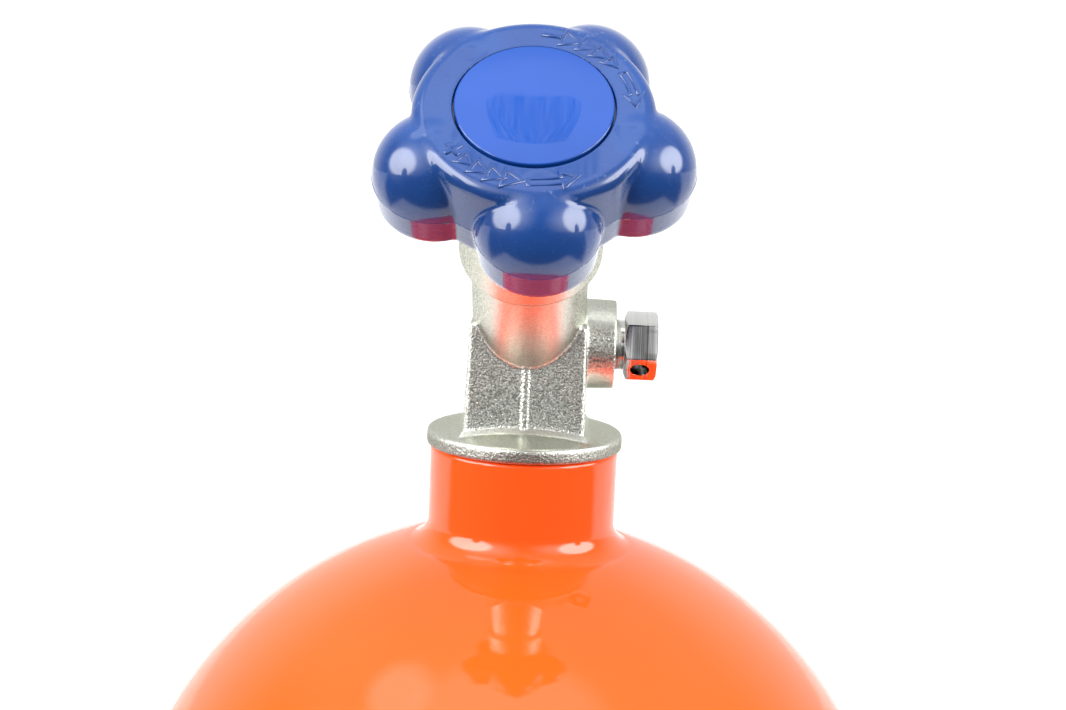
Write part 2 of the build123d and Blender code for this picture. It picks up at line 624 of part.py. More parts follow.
def make_handwheel():
    """The moulded wheel: a round-edged disc with five ball-topped lobes above a drafted skirt."""
    parting = stem_plane(WHEEL_TOP - PARTING_DEPTH)
    skirt_height = WHEEL_DEPTH - PARTING_DEPTH
    skirt_foot = LOBE_RADIUS - skirt_height * tan(radians(LOBE_SKIRT_DRAFT))
    cavity = wheel_cavity()
    with BuildPart() as handwheel:
        with BuildSketch(STEM_SECTION) as disc:
            with BuildLine():
                Polyline(
                    (0, WHEEL_TOP),
                    (DISC_RADIUS, WHEEL_TOP),
                    (DISC_RADIUS, WHEEL_TOP - PARTING_DEPTH),
                    (DISC_RADIUS - 0.7, WHEEL_TOP - WHEEL_DEPTH),
                    (0, WHEEL_TOP - WHEEL_DEPTH),
                    close=True,
                )
            make_face()
            fillet(disc.vertices().sort_by_distance((DISC_RADIUS, WHEEL_TOP))[0], DISC_EDGE_ROUND)
        revolve(axis=STEM_AXIS)
        with Locations(parting):
            with PolarLocations(LOBE_PITCH_RADIUS, LOBE_COUNT, start_angle=LOBE_START_ANGLE):
                Sphere(LOBE_RADIUS)
        split(bisect_by=stem_plane(WHEEL_TOP - WHEEL_DEPTH), keep=Keep.TOP)
        with Locations(parting):
            with PolarLocations(LOBE_PITCH_RADIUS, LOBE_COUNT, start_angle=LOBE_START_ANGLE):
                Cone(skirt_foot, LOBE_RADIUS, skirt_height, align=(Align.CENTER, Align.CENTER, Align.MAX))
        add(cavity, mode=Mode.SUBTRACT)
        with BuildSketch(stem_plane(WHEEL_TOP - POCKET_DEPTH)):
            Circle(HUB_RADIUS)
        extrude(amount=POCKET_DEPTH - HUB_DEPTH)
        with BuildSketch(stem_plane(WHEEL_TOP)):
            Circle(CAP_RADIUS + CAP_GROOVE)
        extrude(amount=-CAP_THICKNESS, mode=Mode.SUBTRACT)
        with BuildSketch(stem_plane(WHEEL_TOP)):
            Circle(POCKET_RADIUS)
        extrude(amount=-POCKET_DEPTH, mode=Mode.SUBTRACT)
        with BuildSketch(stem_plane(WHEEL_TOP)):
            Circle(INSERT_RADIUS)
        extrude(amount=-HUB_DEPTH, mode=Mode.SUBTRACT)
    finish(handwheel, "handwheel")


def make_hub_insert():
    """The brass bush moulded into the hub, with the square hole that the spindle drives."""
    with BuildPart() as hub_insert:
        with BuildSketch(stem_plane(WHEEL_TOP - HUB_DEPTH)):
            Circle(INSERT_RADIUS)
            Rectangle(SQUARE_SIZE + 2 * SLIDING_GAP, SQUARE_SIZE + 2 * SLIDING_GAP, mode=Mode.SUBTRACT)
        extrude(amount=HUB_DEPTH - POCKET_DEPTH)
    finish(hub_insert, "hub_insert")


def make_handwheel_washer():
    """The flat washer on the hub, under the spring."""
    with BuildPart() as handwheel_washer:
        with BuildSketch(stem_plane(WHEEL_TOP - POCKET_DEPTH)):
            Circle(WASHER_RADIUS)
            Circle(SQUARE_SIZE * 0.76, mode=Mode.SUBTRACT)
        extrude(amount=WASHER_THICKNESS)
    finish(handwheel_washer, "handwheel_washer")


def make_handwheel_spring():
    """The coil spring that keeps the handwheel tight on its square."""
    low = WHEEL_TOP - POCKET_DEPTH + WASHER_THICKNESS + SPRING_WIRE / 2 + SLIDING_GAP
    high = WHEEL_TOP - NUT_START_DEPTH - SPRING_WIRE / 2 - SLIDING_GAP
    start_plane = stem_plane(low)
    coil = Helix((high - low) / SPRING_TURNS, high - low, SPRING_RADIUS)
    coil = start_plane.from_local_coords(coil)
    with BuildPart() as handwheel_spring:
        with BuildSketch(Plane(origin=coil @ 0, z_dir=coil % 0)):
            Circle(SPRING_WIRE / 2)
        sweep(path=coil, is_frenet=True)
    finish(handwheel_spring, "handwheel_spring")


def make_handwheel_nut():
    """The nut on the spindle's tip that holds the handwheel on."""
    with BuildPart() as handwheel_nut:
        with BuildSketch(stem_plane(WHEEL_TOP - NUT_START_DEPTH)):
            RegularPolygon(NUT_FLATS / 2, 6, major_radius=False)
            Circle(TIP_RADIUS + SLIDING_GAP, mode=Mode.SUBTRACT)
        extrude(amount=NUT_HEIGHT)
    finish(handwheel_nut, "handwheel_nut")


def make_handwheel_cap():
    """The snap-in disc that covers the handwheel's nut."""
    rim_radius = POCKET_RADIUS - SLIDING_GAP
    cap_top = WHEEL_TOP + CAP_PROUD
    with BuildPart() as handwheel_cap:
        with BuildSketch(STEM_SECTION) as cap:
            with BuildLine():
                Polyline(
                    (0, cap_top),
                    (CAP_RADIUS, cap_top),
                    (CAP_RADIUS, WHEEL_TOP - CAP_THICKNESS),
                    (rim_radius, WHEEL_TOP - CAP_THICKNESS),
                    (rim_radius, WHEEL_TOP - CAP_RIM_DEPTH),
                    (rim_radius - CAP_RIM_WALL, WHEEL_TOP - CAP_RIM_DEPTH),
                    (rim_radius - CAP_RIM_WALL, WHEEL_TOP - CAP_THICKNESS),
                    (0, WHEEL_TOP - CAP_THICKNESS),
                    close=True,
                )
            make_face()
            fillet(cap.vertices().sort_by_distance((CAP_RADIUS, cap_top))[0], CAP_EDGE_ROUND)
        revolve(axis=STEM_AXIS)
    finish(handwheel_cap, "handwheel_cap")


os.makedirs("parts", exist_ok=True)
make_cylinder()
make_neck_o_ring()
make_valve_body()
make_dip_tube()
make_outlet_nipple()
make_safety_plug()
make_burst_disc()
make_burst_disc_gasket()
make_bonnet_nut()
make_bonnet_gasket()
make_thrust_washer()
make_upper_stem()
make_stem_o_rings()
make_lower_stem()
make_seat_insert()
make_handwheel()
make_hub_insert()
make_handwheel_washer()
make_handwheel_spring()
make_handwheel_nut()
make_handwheel_cap()
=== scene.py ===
import bmesh
import bpy
import json
import math
import numpy as np
from mathutils import Matrix, Vector


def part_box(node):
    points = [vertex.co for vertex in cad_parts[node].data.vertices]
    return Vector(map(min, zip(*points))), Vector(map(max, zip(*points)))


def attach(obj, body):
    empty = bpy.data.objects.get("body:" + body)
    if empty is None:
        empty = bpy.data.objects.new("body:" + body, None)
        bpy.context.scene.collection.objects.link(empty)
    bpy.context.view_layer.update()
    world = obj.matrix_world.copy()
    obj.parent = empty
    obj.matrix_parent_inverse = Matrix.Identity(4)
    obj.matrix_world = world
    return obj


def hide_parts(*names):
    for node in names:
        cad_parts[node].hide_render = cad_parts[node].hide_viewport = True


# A diving cylinder with a leaning handwheel valve.
# Metres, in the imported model's frame: +Z is up and -Y is the front.
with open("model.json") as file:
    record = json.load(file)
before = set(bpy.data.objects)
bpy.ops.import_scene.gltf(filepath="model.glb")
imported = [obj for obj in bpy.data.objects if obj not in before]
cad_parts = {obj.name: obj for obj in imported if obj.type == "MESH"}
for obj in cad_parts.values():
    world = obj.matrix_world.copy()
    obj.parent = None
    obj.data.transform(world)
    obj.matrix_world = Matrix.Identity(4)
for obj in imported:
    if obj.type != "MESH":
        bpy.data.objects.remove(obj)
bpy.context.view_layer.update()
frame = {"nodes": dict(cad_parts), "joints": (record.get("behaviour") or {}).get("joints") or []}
NODES = frame["nodes"]
MM = 0.001

# Bodies
TANK_BODY = "cylinder_and_valve"
WHEEL_BODY = "handwheel_and_spindle"

# Cylinder, as its CAD node has it
_, TANK_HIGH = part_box("cylinder")
TANK_RADIUS = TANK_HIGH.x
NECK_TOP = TANK_HIGH.z
SHOULDER_Z = NECK_TOP - 111.2 * MM
NECK_RADIUS = 21.5 * MM
NECK_FILLET = 6.0 * MM
NECK_EDGE_ROUND = 1.0 * MM
NECK_BORE = 13.25 * MM
GLAND_RADIUS = 16.7 * MM
GLAND_DEPTH = 2.6 * MM
WALL = 12.6 * MM
BASE_THICKNESS = 21.0 * MM
BASE_EDGE_ROUND = 16.0 * MM
BASE_RING_INNER = 52.0 * MM
BASE_DISH = 7.0 * MM
INNER_CORNER = 30.0 * MM
INNER_DOME_DROP = 4.0 * MM
TANK_COLUMNS = 288

# Stem axis, from the handwheel's hinge
HINGE = frame["joints"][0]
STEM_ORIGIN = Vector(HINGE["pos_m"])
STEM_DIRECTION = Vector(HINGE["axis"]).normalized()
STEM_RIGHT = Vector((1, 0, 0))
STEM_UP = STEM_DIRECTION.cross(STEM_RIGHT)
WHEEL_TOP = 77.0  # millimetres along the axis, from the hinge's origin to the wheel's top face
TOP_ALONG_AXIS = STEM_ORIGIN.dot(STEM_DIRECTION) + WHEEL_TOP * MM

# Handwheel, in millimetres, its depths measured from its top face along the stem axis
WHEEL_DEPTH = 19.0
DISC_RADIUS = 24.5
DISC_EDGE_ROUND = 2.8
DISC_DRAFT = math.tan(math.radians(3))
SKIRT_DRAFT = math.tan(math.radians(6))
LOBE_COUNT = 5
LOBE_RADIUS = 12.43
LOBE_PITCH = 20.65
LOBE_START = math.radians(-85)
PARTING_DEPTH = 12.4
PARTING_FLASH = 0.08
BLEND = 0.8
SKIRT_LIP = 0.4
SKIRT_LIP_BREAK = 0.12
WHEEL_WALL = 2.6
ROOF_DEPTH = 4.6
RECESS_RADIUS = 15.95
RECESS_DEPTH = 2.2
RECESS_LIP = 0.25
POCKET_RADIUS = 12.2
POCKET_DEPTH = 12.0
BOSS_RADIUS = 14.6
BOSS_DEPTH = 14.4
HUB_RADIUS = 9.6
HUB_DEPTH = 20.5
HUB_EDGE_BREAK = 0.4
INSERT_RADIUS = 7.4
RIB_DEPTH = 17.0
RIB_HALF_WIDTH = 1.0
RIB_COUNT = 10
RIB_COLUMNS = 12
RIB_SINK = 0.3
WHEEL_COLUMNS = 600
WHEEL_TOP_ROWS = 74
WHEEL_UNDER_ROWS = 34
WHEEL_REACH = 40.0
CAP_RADIUS = 15.6
CAP_PROUD = 0.5
CAP_EDGE_ROUND = 0.35
CAP_THICKNESS = 2.2
CAP_RIM_RADIUS = 12.15
CAP_RIM_DEPTH = 5.0
CAP_RIM_WALL = 1.1
CAP_COLUMNS = 240

# Raised marks on the handwheel, in millimetres and degrees round the stem from +X
MARK_WIDTH = 0.8
MARK_HEIGHT = 0.38
MARK_SECTION = ((-0.5, -0.25), (-0.28, 0.7), (0.0, 1.0), (0.28, 0.7), (0.5, -0.25))
MARK_RADIUS = 19.3
SIGN_ARM = 1.6
SIGN_HALF_WIDTH = 0.24
ARROW_OFFSET = 0.4
ARROW_HALF_WIDTH = 0.75
ARROW_HEAD_HALF_WIDTH = 1.7
ARROW_HEAD_TURN = 9
CLOSING_SCALE = {
    "sign": 82,
    "upright": False,
    "pointers": (70, 59, 49, 40),
    "sizes": (4.2, 3.9, 3.5, 3.1),
    "arrow": (30, 3),
}
OPENING_SCALE = {
    "sign": -141,
    "upright": True,
    "pointers": (-130, -120, -110, -100),
    "sizes": (3.1, 3.5, 3.9, 4.2),
    "arrow": (-91, -63),
}

# Valve forging
FORGING_VOXEL = 0.3 * MM
FORGING_SMOOTHING = 3
BLOCK_HALF = Vector((13.9, 14.2)) * MM
FOOT_FILLET = 1.2 * MM
FOOT_SINK = 0.4 * MM
FOOT_OVERLAP = 0.3 * MM
FLASH_LOW = NECK_TOP + 3.5 * MM
FLASH_HIGH = NECK_TOP + 21.0 * MM
FLASH_HALF_WIDTH = 0.6 * MM
FLASH_PROUD = 0.14 * MM
FLASH_ROOT = 1.0 * MM
FLASH_DRAFT = math.tan(math.radians(1.6))
CROWN_APEX = NECK_TOP + 6.8 * MM
CROWN_RADIUS = 73.0 * MM
# Heights where the flange rim just above the neck is painted dark as shade
RIM_SHADE_LOW = NECK_TOP + 2.0 * MM
RIM_SHADE_HIGH = NECK_TOP + 3.3 * MM

# Safety plug
PLUG_WELD = 0.01 * MM
PLUG_EDGE_BREAK = 0.22 * MM

# Outlet
OUTLET_LOW, OUTLET_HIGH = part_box("outlet_nipple")
OUTLET_Z = (OUTLET_LOW.z + OUTLET_HIGH.z) / 2
OUTLET_THREAD_RADIUS = (OUTLET_HIGH.z - OUTLET_LOW.z) / 2
OUTLET_PITCH = 25.4 / 14 * MM
OUTLET_THREAD_DEPTH = 1.0 * MM
OUTLET_THREAD_START = 2.0 * MM
OUTLET_THREAD_END = 1.0 * MM
OUTLET_RELIEF = 16.0 * MM
OUTLET_SPIGOT = 7.95 * MM
OUTLET_EDGE_BREAK = 0.4 * MM
OUTLET_BORE = 3.0 * MM
OUTLET_MOUTH = 5.8 * MM
OUTLET_MOUTH_DEPTH = 5.0 * MM
OUTLET_COLUMNS = 96
OUTLET_ROWS_PER_TURN = 14
TOOTH_FLAT = 0.15
TOOTH_WIDTH = 0.95

# Camera
CAMERA_PLACE = Vector((0.00642, -0.41433, 0.74572))
CAMERA_YAW = math.radians(-0.73)
CAMERA_PITCH = math.radians(-9.55)
CAMERA_ROLL = math.radians(2.48)
CAMERA_LENS = 62.24

# Light. Radiances of the room, with the ways round it where one changes to the next, as the
# direction's part along +Y or +Z. Patches of light as azimuth from the front towards +X,
# elevation, half width and half height in degrees, strength, and where the soft edge starts.
# The blind's edges as slopes from overhead, and the rest in metres and watts.
FRONT_LIGHT = 0.12
SIDE_LIGHT = 0.22
BACK_LIGHT = 1.04
HIGH_LIGHT = 0.75
FRONT_TO_SIDE = (-0.8, 0.1)
SIDE_TO_BACK = (0.1, 0.75)
LOW_TO_HIGH = (0.45, 0.75)
SOFT_PATCHES = (
    (-63, 19, 33, 25, 8.0, 0.72),
    (-46, 27, 52, 37, 3.6, 0.1),
    (74, 18, 29, 23, 8.4, 0.72),
    (54, 20, 52, 30, 3.0, 0.1),
    (0, 78, 30, 20, 1.1, 0.6),
    (-86, 62, 13, 11, 2.0, 0.4),
)
LAMP_SHAFTS = ((-53, 2, 7, 11, 0.97, 0.6), (74, 2, 6, 11, 0.97, 0.6))
BLIND_ACROSS = (-0.0580, 0.0195)
BLIND_ALONG = (-0.0850, -0.0265)
BLIND_EDGE = 0.0015
BLIND_FRONT_EDGE = 0.004
BLIND_DEPTH = 0.8
FLOOR_RADIUS = 60
TABLE_FRONT = -0.46
TABLE_FRONT_EDGE = 0.1
TABLE_SIDE = 0.95
TABLE_SIDE_EDGE = 0.15
BACKDROP = 0.35
BACKDROP_EDGE = (-0.2, 0.3)
ROOM_SHADE = 0.06
OVERHEAD_POWER = 52.0
OVERHEAD_SIZE = 1.6
OVERHEAD_PLACE = (0.0, -0.2, NECK_TOP + 1.6)


# ---------------------------------------------------------------- mesh helpers

def add_mesh(name, vertices, faces, sharp_degrees=35.0):
    """A smooth-shaded mesh object with sharp edges where its faces turn by more than an angle."""
    mesh = bpy.data.meshes.new(name)
    mesh.from_pydata([tuple(v) for v in vertices], [], faces)
    mesh.validate()
    turned = bmesh.new()
    turned.from_mesh(mesh)
    bmesh.ops.recalc_face_normals(turned, faces=turned.faces)
    turned.to_mesh(mesh)
    turned.free()
    mesh.shade_smooth()
    mesh.set_sharp_from_angle(angle=math.radians(sharp_degrees))
    piece = bpy.data.objects.new(name, mesh)
    bpy.context.scene.collection.objects.link(piece)
    return piece


def arc(centre, radius, start, end, count):
    """Points on a circle in the half-section plane, from one angle to another, both ends included."""
    angles = np.radians(np.linspace(start, end, count))
    return [(centre[0] + radius * math.cos(a), centre[1] + radius * math.sin(a)) for a in angles]


def line(start, end, count):
    """Evenly spaced points between two points, both ends left out."""
    across, along = end[0] - start[0], end[1] - start[1]
    return [
        (start[0] + across * i / (count + 1), start[1] + along * i / (count + 1))
        for i in range(1, count + 1)
    ]


def lathe(name, profile, columns, place, sharp_degrees=35.0):
    """Turns a half section of (radius, height) points about an axis.

    place gives the point at a radius, an angle and a height.
    """
    vertices = []
    rows = []
    for radius, height in profile:
        if radius < 1e-9:
            rows.append([len(vertices)] * columns)
            vertices.append(place(0.0, 0.0, height))
            continue
        first = len(vertices)
        rows.append([first + c for c in range(columns)])
        vertices += [place(radius, 2 * math.pi * c / columns, height) for c in range(columns)]
    faces = []
    for low, high in zip(rows, rows[1:]):
        for c in range(columns):
            d = (c + 1) % columns
            corners = []
            for v in (low[c], low[d], high[d], high[c]):
                if v not in corners:
                    corners.append(v)
            if len(corners) > 2:
                faces.append(corners)
    return add_mesh(name, vertices, faces, sharp_degrees)


def upright(radius, angle, height):
    """A point about the cylinder's axis."""
    return (radius * math.cos(angle), radius * math.sin(angle), height)


def on_stem(radius, angle, height):
    """A point about the stem axis, in millimetres, its height measured from the wheel's top face."""
    across = STEM_RIGHT * math.cos(angle) + STEM_UP * math.sin(angle)
    return STEM_ORIGIN + STEM_DIRECTION * ((WHEEL_TOP + height) * MM) + across * (radius * MM)


def on_outlet(radius, angle, height):
    """A point about the outlet's axis, with its height along +Y."""
    return (radius * math.cos(angle), height, OUTLET_Z - radius * math.sin(angle))


# ---------------------------------------------------------------- material helpers

class Nodes:
    """A short way to write a node tree, for a material or for the world."""

    def __init__(self, name, owner=None):
        self.material = owner or bpy.data.materials.new(name)
        self.material.use_nodes = True
        self.tree = self.material.node_tree
        self.shader = self.tree.nodes["Background" if owner else "Principled BSDF"]
        space = "Generated" if owner else "Object"
        self.coordinates = self.tree.nodes.new("ShaderNodeTexCoord").outputs[space]

    def link(self, source, target):
        self.tree.links.new(source, target)

    def set(self, **values):
        for name, value in values.items():
            self.shader.inputs[name.replace("_", " ")].default_value = value

    def mapped(self, scale):
        node = self.tree.nodes.new("ShaderNodeMapping")
        node.inputs["Scale"].default_value = scale
        self.link(self.coordinates, node.inputs["Vector"])
        return node.outputs["Vector"]

    def noise(self, scale, detail=2.0, roughness=0.5, vector=None):
        node = self.tree.nodes.new("ShaderNodeTexNoise")
        node.inputs["Scale"].default_value = scale
        node.inputs["Detail"].default_value = detail
        node.inputs["Roughness"].default_value = roughness
        self.link(vector or self.coordinates, node.inputs["Vector"])
        return node.outputs["Fac"]

    def cells(self, scale):
        node = self.tree.nodes.new("ShaderNodeTexVoronoi")
        node.inputs["Scale"].default_value = scale
        self.link(self.coordinates, node.inputs["Vector"])
        return node.outputs["Distance"]

    def ramp(self, value, stops):
        node = self.tree.nodes.new("ShaderNodeValToRGB")
        elements = node.color_ramp.elements
        while len(elements) < len(stops):
            elements.new(0.5)
        for element, (position, colour) in zip(elements, stops):
            element.position = position
            element.color = (*colour, 1)
        self.link(value, node.inputs["Fac"])
        return node.outputs["Color"]

    def grey(self, value, low, high, start=0.0, end=1.0):
        node = self.tree.nodes.new("ShaderNodeMapRange")
        node.inputs["From Min"].default_value = start
        node.inputs["From Max"].default_value = end
        node.inputs["To Min"].default_value = low
        node.inputs["To Max"].default_value = high
        self.link(value, node.inputs["Value"])
        return node.outputs["Result"]

    def math(self, operation, a, b):
        node = self.tree.nodes.new("ShaderNodeMath")
        node.operation = operation
        for socket, value in zip(node.inputs, (a, b)):
            if isinstance(value, (int, float)):
                socket.default_value = value
            else:
                self.link(value, socket)
        return node.outputs["Value"]

    def mix(self, factor, a, b):
        node = self.tree.nodes.new("ShaderNodeMix")
        node.data_type = "RGBA"
        self.link(factor, node.inputs["Factor"])
        for name, value in (("A", a), ("B", b)):
            socket = [s for s in node.inputs if s.name == name and s.type == "RGBA"][0]
            if isinstance(value, tuple):
                socket.default_value = (*value, 1)
            else:
                self.link(value, socket)
        return [s for s in node.outputs if s.type == "RGBA"][0]

    def axis(self, direction):
        """How far the coordinates reach along a direction."""
        node = self.tree.nodes.new("ShaderNodeVectorMath")
        node.operation = "DOT_PRODUCT"
        node.inputs[1].default_value = direction
        self.link(self.coordinates, node.inputs[0])
        return node.outputs["Value"]

    def off_axis(self, origin, direction):
        """How far the coordinates lie from a line."""
        offset = self.tree.nodes.new("ShaderNodeVectorMath")
        offset.operation = "SUBTRACT"
        offset.inputs[1].default_value = origin
        self.link(self.coordinates, offset.inputs[0])
        cross = self.tree.nodes.new("ShaderNodeVectorMath")
        cross.operation = "CROSS_PRODUCT"
        cross.inputs[1].default_value = direction
        self.link(offset.outputs["Vector"], cross.inputs[0])
        length = self.tree.nodes.new("ShaderNodeVectorMath")
        length.operation = "LENGTH"
        self.link(cross.outputs["Vector"], length.inputs[0])
        return length.outputs["Value"]

    def facing(self, direction):
        """How squarely the surface faces a direction, from -1 to 1."""
        node = self.tree.nodes.new("ShaderNodeVectorMath")
        node.operation = "DOT_PRODUCT"
        node.inputs[1].default_value = direction
        source = self.tree.nodes.new("ShaderNodeNewGeometry")
        self.link(source.outputs["Normal"], node.inputs[0])
        return node.outputs["Value"]

    def ease(self, value, low, high, start, end):
        """A smooth change from low to high as the value goes from start to end."""
        result = self.grey(value, low, high, start, end)
        result.node.interpolation_type = "SMOOTHSTEP"
        return result

    def bump(self, height, distance, strength=1.0, normal=None):
        node = self.tree.nodes.new("ShaderNodeBump")
        node.inputs["Distance"].default_value = distance
        node.inputs["Strength"].default_value = strength
        self.link(height, node.inputs["Height"])
        if normal:
            self.link(normal, node.inputs["Normal"])
        return node.outputs["Normal"]

    def colour(self, source):
        self.link(source, self.shader.inputs["Base Color"])

    def rough(self, source):
        self.link(source, self.shader.inputs["Roughness"])

    def normal(self, source):
        self.link(source, self.shader.inputs["Normal"])


# ---------------------------------------------------------------- materials

def orange_paint():
    """Thick gloss paint with a faint orange peel and a few specks of dust under it."""
    n = Nodes("orange_paint")
    n.set(Metallic=0.0, IOR=1.5)
    shade = n.noise(9.0, 3.0)
    base = n.ramp(shade, [(0.35, (0.88, 0.062, 0.0055)), (0.65, (0.92, 0.070, 0.0070))])
    specks = n.ramp(n.cells(420.0), [(0.035, (1, 1, 1)), (0.05, (0, 0, 0))])
    thinned = n.math("MULTIPLY", specks, n.grey(n.noise(60.0), 0.0, 1.0, 0.6, 0.66))
    n.colour(n.mix(thinned, base, (0.30, 0.03, 0.01)))
    n.rough(n.grey(n.noise(30.0, 2.0), 0.03, 0.07))
    peel = n.noise(620.0, 1.0)
    waves = n.noise(110.0, 1.0)
    n.normal(n.bump(peel, 0.000012, 1.0, n.bump(waves, 0.00004, 1.0)))
    return n.material


def forged_nickel():
    """Nickel plating over a blasted forging, its grain strong on upright faces and soft on the rest.
    Faces turned up are painted lighter and faces turned down darker as light and shade, and the flange
    rim just above the neck is painted dark as shade.
    """
    n = Nodes("forged_nickel")
    n.set(Metallic=1.0, Specular_Tint=(0.55, 0.57, 0.50, 1.0))
    slope = n.facing((0, 0, 1))
    upright = n.ease(n.math("ABSOLUTE", slope, 0.0), 1.0, 0.25, 0.25, 0.6)
    # Painted light: the smooth colour is lighter on faces turned up and darker on faces turned down
    smooth = n.mix(n.grey(slope, 0.0, 1.0, -0.5, 0.5), (0.58, 0.585, 0.52), (0.66, 0.67, 0.60))
    grain = n.noise(2300.0, 2.0, 0.6)
    speckle = n.ramp(grain, [(0.36, (0.30, 0.30, 0.27)), (0.64, (0.92, 0.93, 0.86))])
    # Painted shade: the flange rim just above the neck is darkened in colour
    rim_shade = n.grey(n.axis((0, 0, 1)), 0.55, 0.0, RIM_SHADE_LOW, RIM_SHADE_HIGH)
    n.colour(n.mix(rim_shade, n.mix(upright, smooth, speckle), (0.16, 0.14, 0.12)))
    n.rough(n.grey(n.noise(300.0), 0.32, 0.38))
    bump = n.bump(grain, 0.00016, 1.0)
    n.link(upright, bump.node.inputs["Strength"])
    n.normal(bump)
    return n.material


def turned_nickel(name="turned_nickel"):
    """Machined and plated brass with fine tool marks."""
    n = Nodes(name)
    n.set(Metallic=1.0)
    bright = (0.78, 0.76, 0.72)
    n.colour(n.mix(n.noise(160.0, 2.0), tuple(0.92 * c for c in bright), bright))
    n.rough(n.grey(n.noise(900.0, 2.0), 0.154, 0.308))
    n.normal(n.bump(n.noise(3000.0, 1.0), 0.00002, 0.6))
    return n.material


def chrome():
    """Bright plating over a milled hexagon, with cutter lines across its flats. The cutter lines' dark
    colour is partly painted shade, and faces turned up are painted plain and bright as painted light.
    """
    n = Nodes("chrome")
    n.set(Metallic=1.0)
    streaks = n.noise(1.0, 4.0, 0.8, n.mapped((2600.0, 6.0, 6.0)))
    # The milled streaks are real cutter lines whose dark colour is also painted shade
    milled = n.ramp(streaks, [(0.40, (0.24, 0.24, 0.25)), (0.62, (0.80, 0.80, 0.79))])
    # Painted light: faces turned up get the plain bright colour, the other faces the darker streaked
    # one
    n.colour(n.mix(n.ease(n.facing((0, 0, 1)), 0.0, 0.85, 0.3, 0.7), milled, (0.80, 0.80, 0.77)))
    n.rough(n.grey(n.noise(500.0), 0.08, 0.13))
    n.normal(n.bump(streaks, 0.00002, 1.0))
    return n.material


def wheel_plastic():
    """Dark blue moulded plastic: glossy, a little wavy, with knocks round the edge of its disc."""
    n = Nodes("wheel_plastic")
    n.set(IOR=1.25, Coat_Weight=1.0, Coat_Roughness=0.015, Coat_IOR=1.45)
    n.rough(n.grey(n.noise(1.0, 4.0, 0.7, n.mapped((260.0, 900.0, 420.0))), 0.22, 0.34, 0.4, 0.8))
    radius = n.off_axis(STEM_ORIGIN, STEM_DIRECTION)
    inner = n.ease(radius, 0.0, 1.0, (DISC_RADIUS - 4.0) * MM, (DISC_RADIUS - 2.0) * MM)
    outer = n.ease(radius, 1.0, 0.0, DISC_RADIUS * MM, (DISC_RADIUS + 1.7) * MM)
    below, above = TOP_ALONG_AXIS - 6.0 * MM, TOP_ALONG_AXIS - 2.0 * MM
    height = n.grey(n.axis(STEM_DIRECTION), 0.0, 1.0, below, above)
    rim = n.math("MULTIPLY", n.math("MULTIPLY", inner, outer), height)
    knocks = n.ramp(n.noise(650.0, 3.0, 0.7), [(0.60, (0, 0, 0)), (0.70, (1, 1, 1))])
    knocks = n.math("MULTIPLY", knocks, rim)
    pits = n.ramp(n.noise(520.0, 2.0, 0.6), [(0.66, (0, 0, 0)), (0.72, (1, 1, 1))])
    base = n.ramp(n.noise(70.0, 3.0), [(0.35, (0.005, 0.029, 0.128)), (0.65, (0.006, 0.035, 0.149))])
    n.colour(n.mix(n.math("MULTIPLY", knocks, 0.3), base, (0.10, 0.16, 0.32)))
    waves = n.bump(n.noise(140.0, 1.0), 0.00020, 1.0)
    ripples = n.bump(n.noise(420.0, 2.0), 0.00003, 1.0, waves)
    dents = n.bump(knocks, 0.00008, 1.0, ripples)
    n.normal(n.bump(pits, 0.00002, 0.6, dents))
    return n.material


def cap_plastic():
    """Brighter blue moulded plastic with a polished face and hairline scratches."""
    n = Nodes("cap_plastic")
    n.set(IOR=1.5)
    n.colour(n.ramp(n.noise(50.0, 2.0), [(0.35, (0.003, 0.034, 0.186)), (0.65, (0.004, 0.039, 0.209))]))
    n.rough(n.grey(n.noise(240.0, 3.0), 0.01, 0.04, 0.4, 0.8))
    waves = n.bump(n.noise(60.0, 1.0), 0.00002, 1.0)
    scratches = n.noise(1.0, 2.0, 0.5, n.mapped((150.0, 2600.0, 2600.0)))
    hairlines = n.ramp(scratches, [(0.70, (0, 0, 0)), (0.74, (1, 1, 1))])
    n.normal(n.bump(hairlines, 0.00001, 0.5, waves))
    return n.material


def plain_brass():
    """Turned brass, a little tarnished."""
    n = Nodes("plain_brass")
    n.set(Metallic=1.0)
    n.colour(n.ramp(n.noise(120.0, 4.0), [(0.3, (0.52, 0.34, 0.12)), (0.7, (0.74, 0.54, 0.24))]))
    n.rough(n.grey(n.noise(600.0, 2.0), 0.18, 0.38))
    n.normal(n.bump(n.noise(2400.0, 1.0), 0.00002, 0.7))
    return n.material


def copper():
    """Dull soft copper."""
    n = Nodes("copper")
    n.set(Metallic=1.0)
    n.colour(n.ramp(n.noise(300.0, 3.0), [(0.3, (0.55, 0.24, 0.14)), (0.7, (0.78, 0.40, 0.26))]))
    n.rough(n.grey(n.noise(700.0), 0.25, 0.5))
    return n.material


def small_steel():
    """Zinc-plated steel."""
    n = Nodes("small_steel")
    n.set(Metallic=1.0)
    n.colour(n.ramp(n.noise(260.0, 3.0), [(0.3, (0.46, 0.47, 0.49)), (0.7, (0.64, 0.65, 0.66))]))
    n.rough(n.grey(n.noise(800.0), 0.22, 0.42))
    n.normal(n.bump(n.noise(2600.0), 0.00002, 0.6))
    return n.material


def seal_rubber():
    """Black ring rubber with a dusty bloom."""
    n = Nodes("seal_rubber")
    n.colour(n.ramp(n.noise(500.0, 3.0), [(0.3, (0.008, 0.008, 0.008)), (0.7, (0.03, 0.03, 0.03))]))
    n.rough(n.grey(n.noise(900.0), 0.45, 0.7))
    n.normal(n.bump(n.noise(3000.0), 0.00003, 0.8))
    return n.material


def white_seal():
    """White seal plastic, slightly waxy."""
    n = Nodes("white_seal")
    n.set(Subsurface_Weight=0.1)
    n.colour(n.ramp(n.noise(400.0, 3.0), [(0.3, (0.72, 0.71, 0.68)), (0.7, (0.84, 0.83, 0.80))]))
    n.rough(n.grey(n.noise(900.0), 0.35, 0.55))
    return n.material


# ---------------------------------------------------------------- cylinder

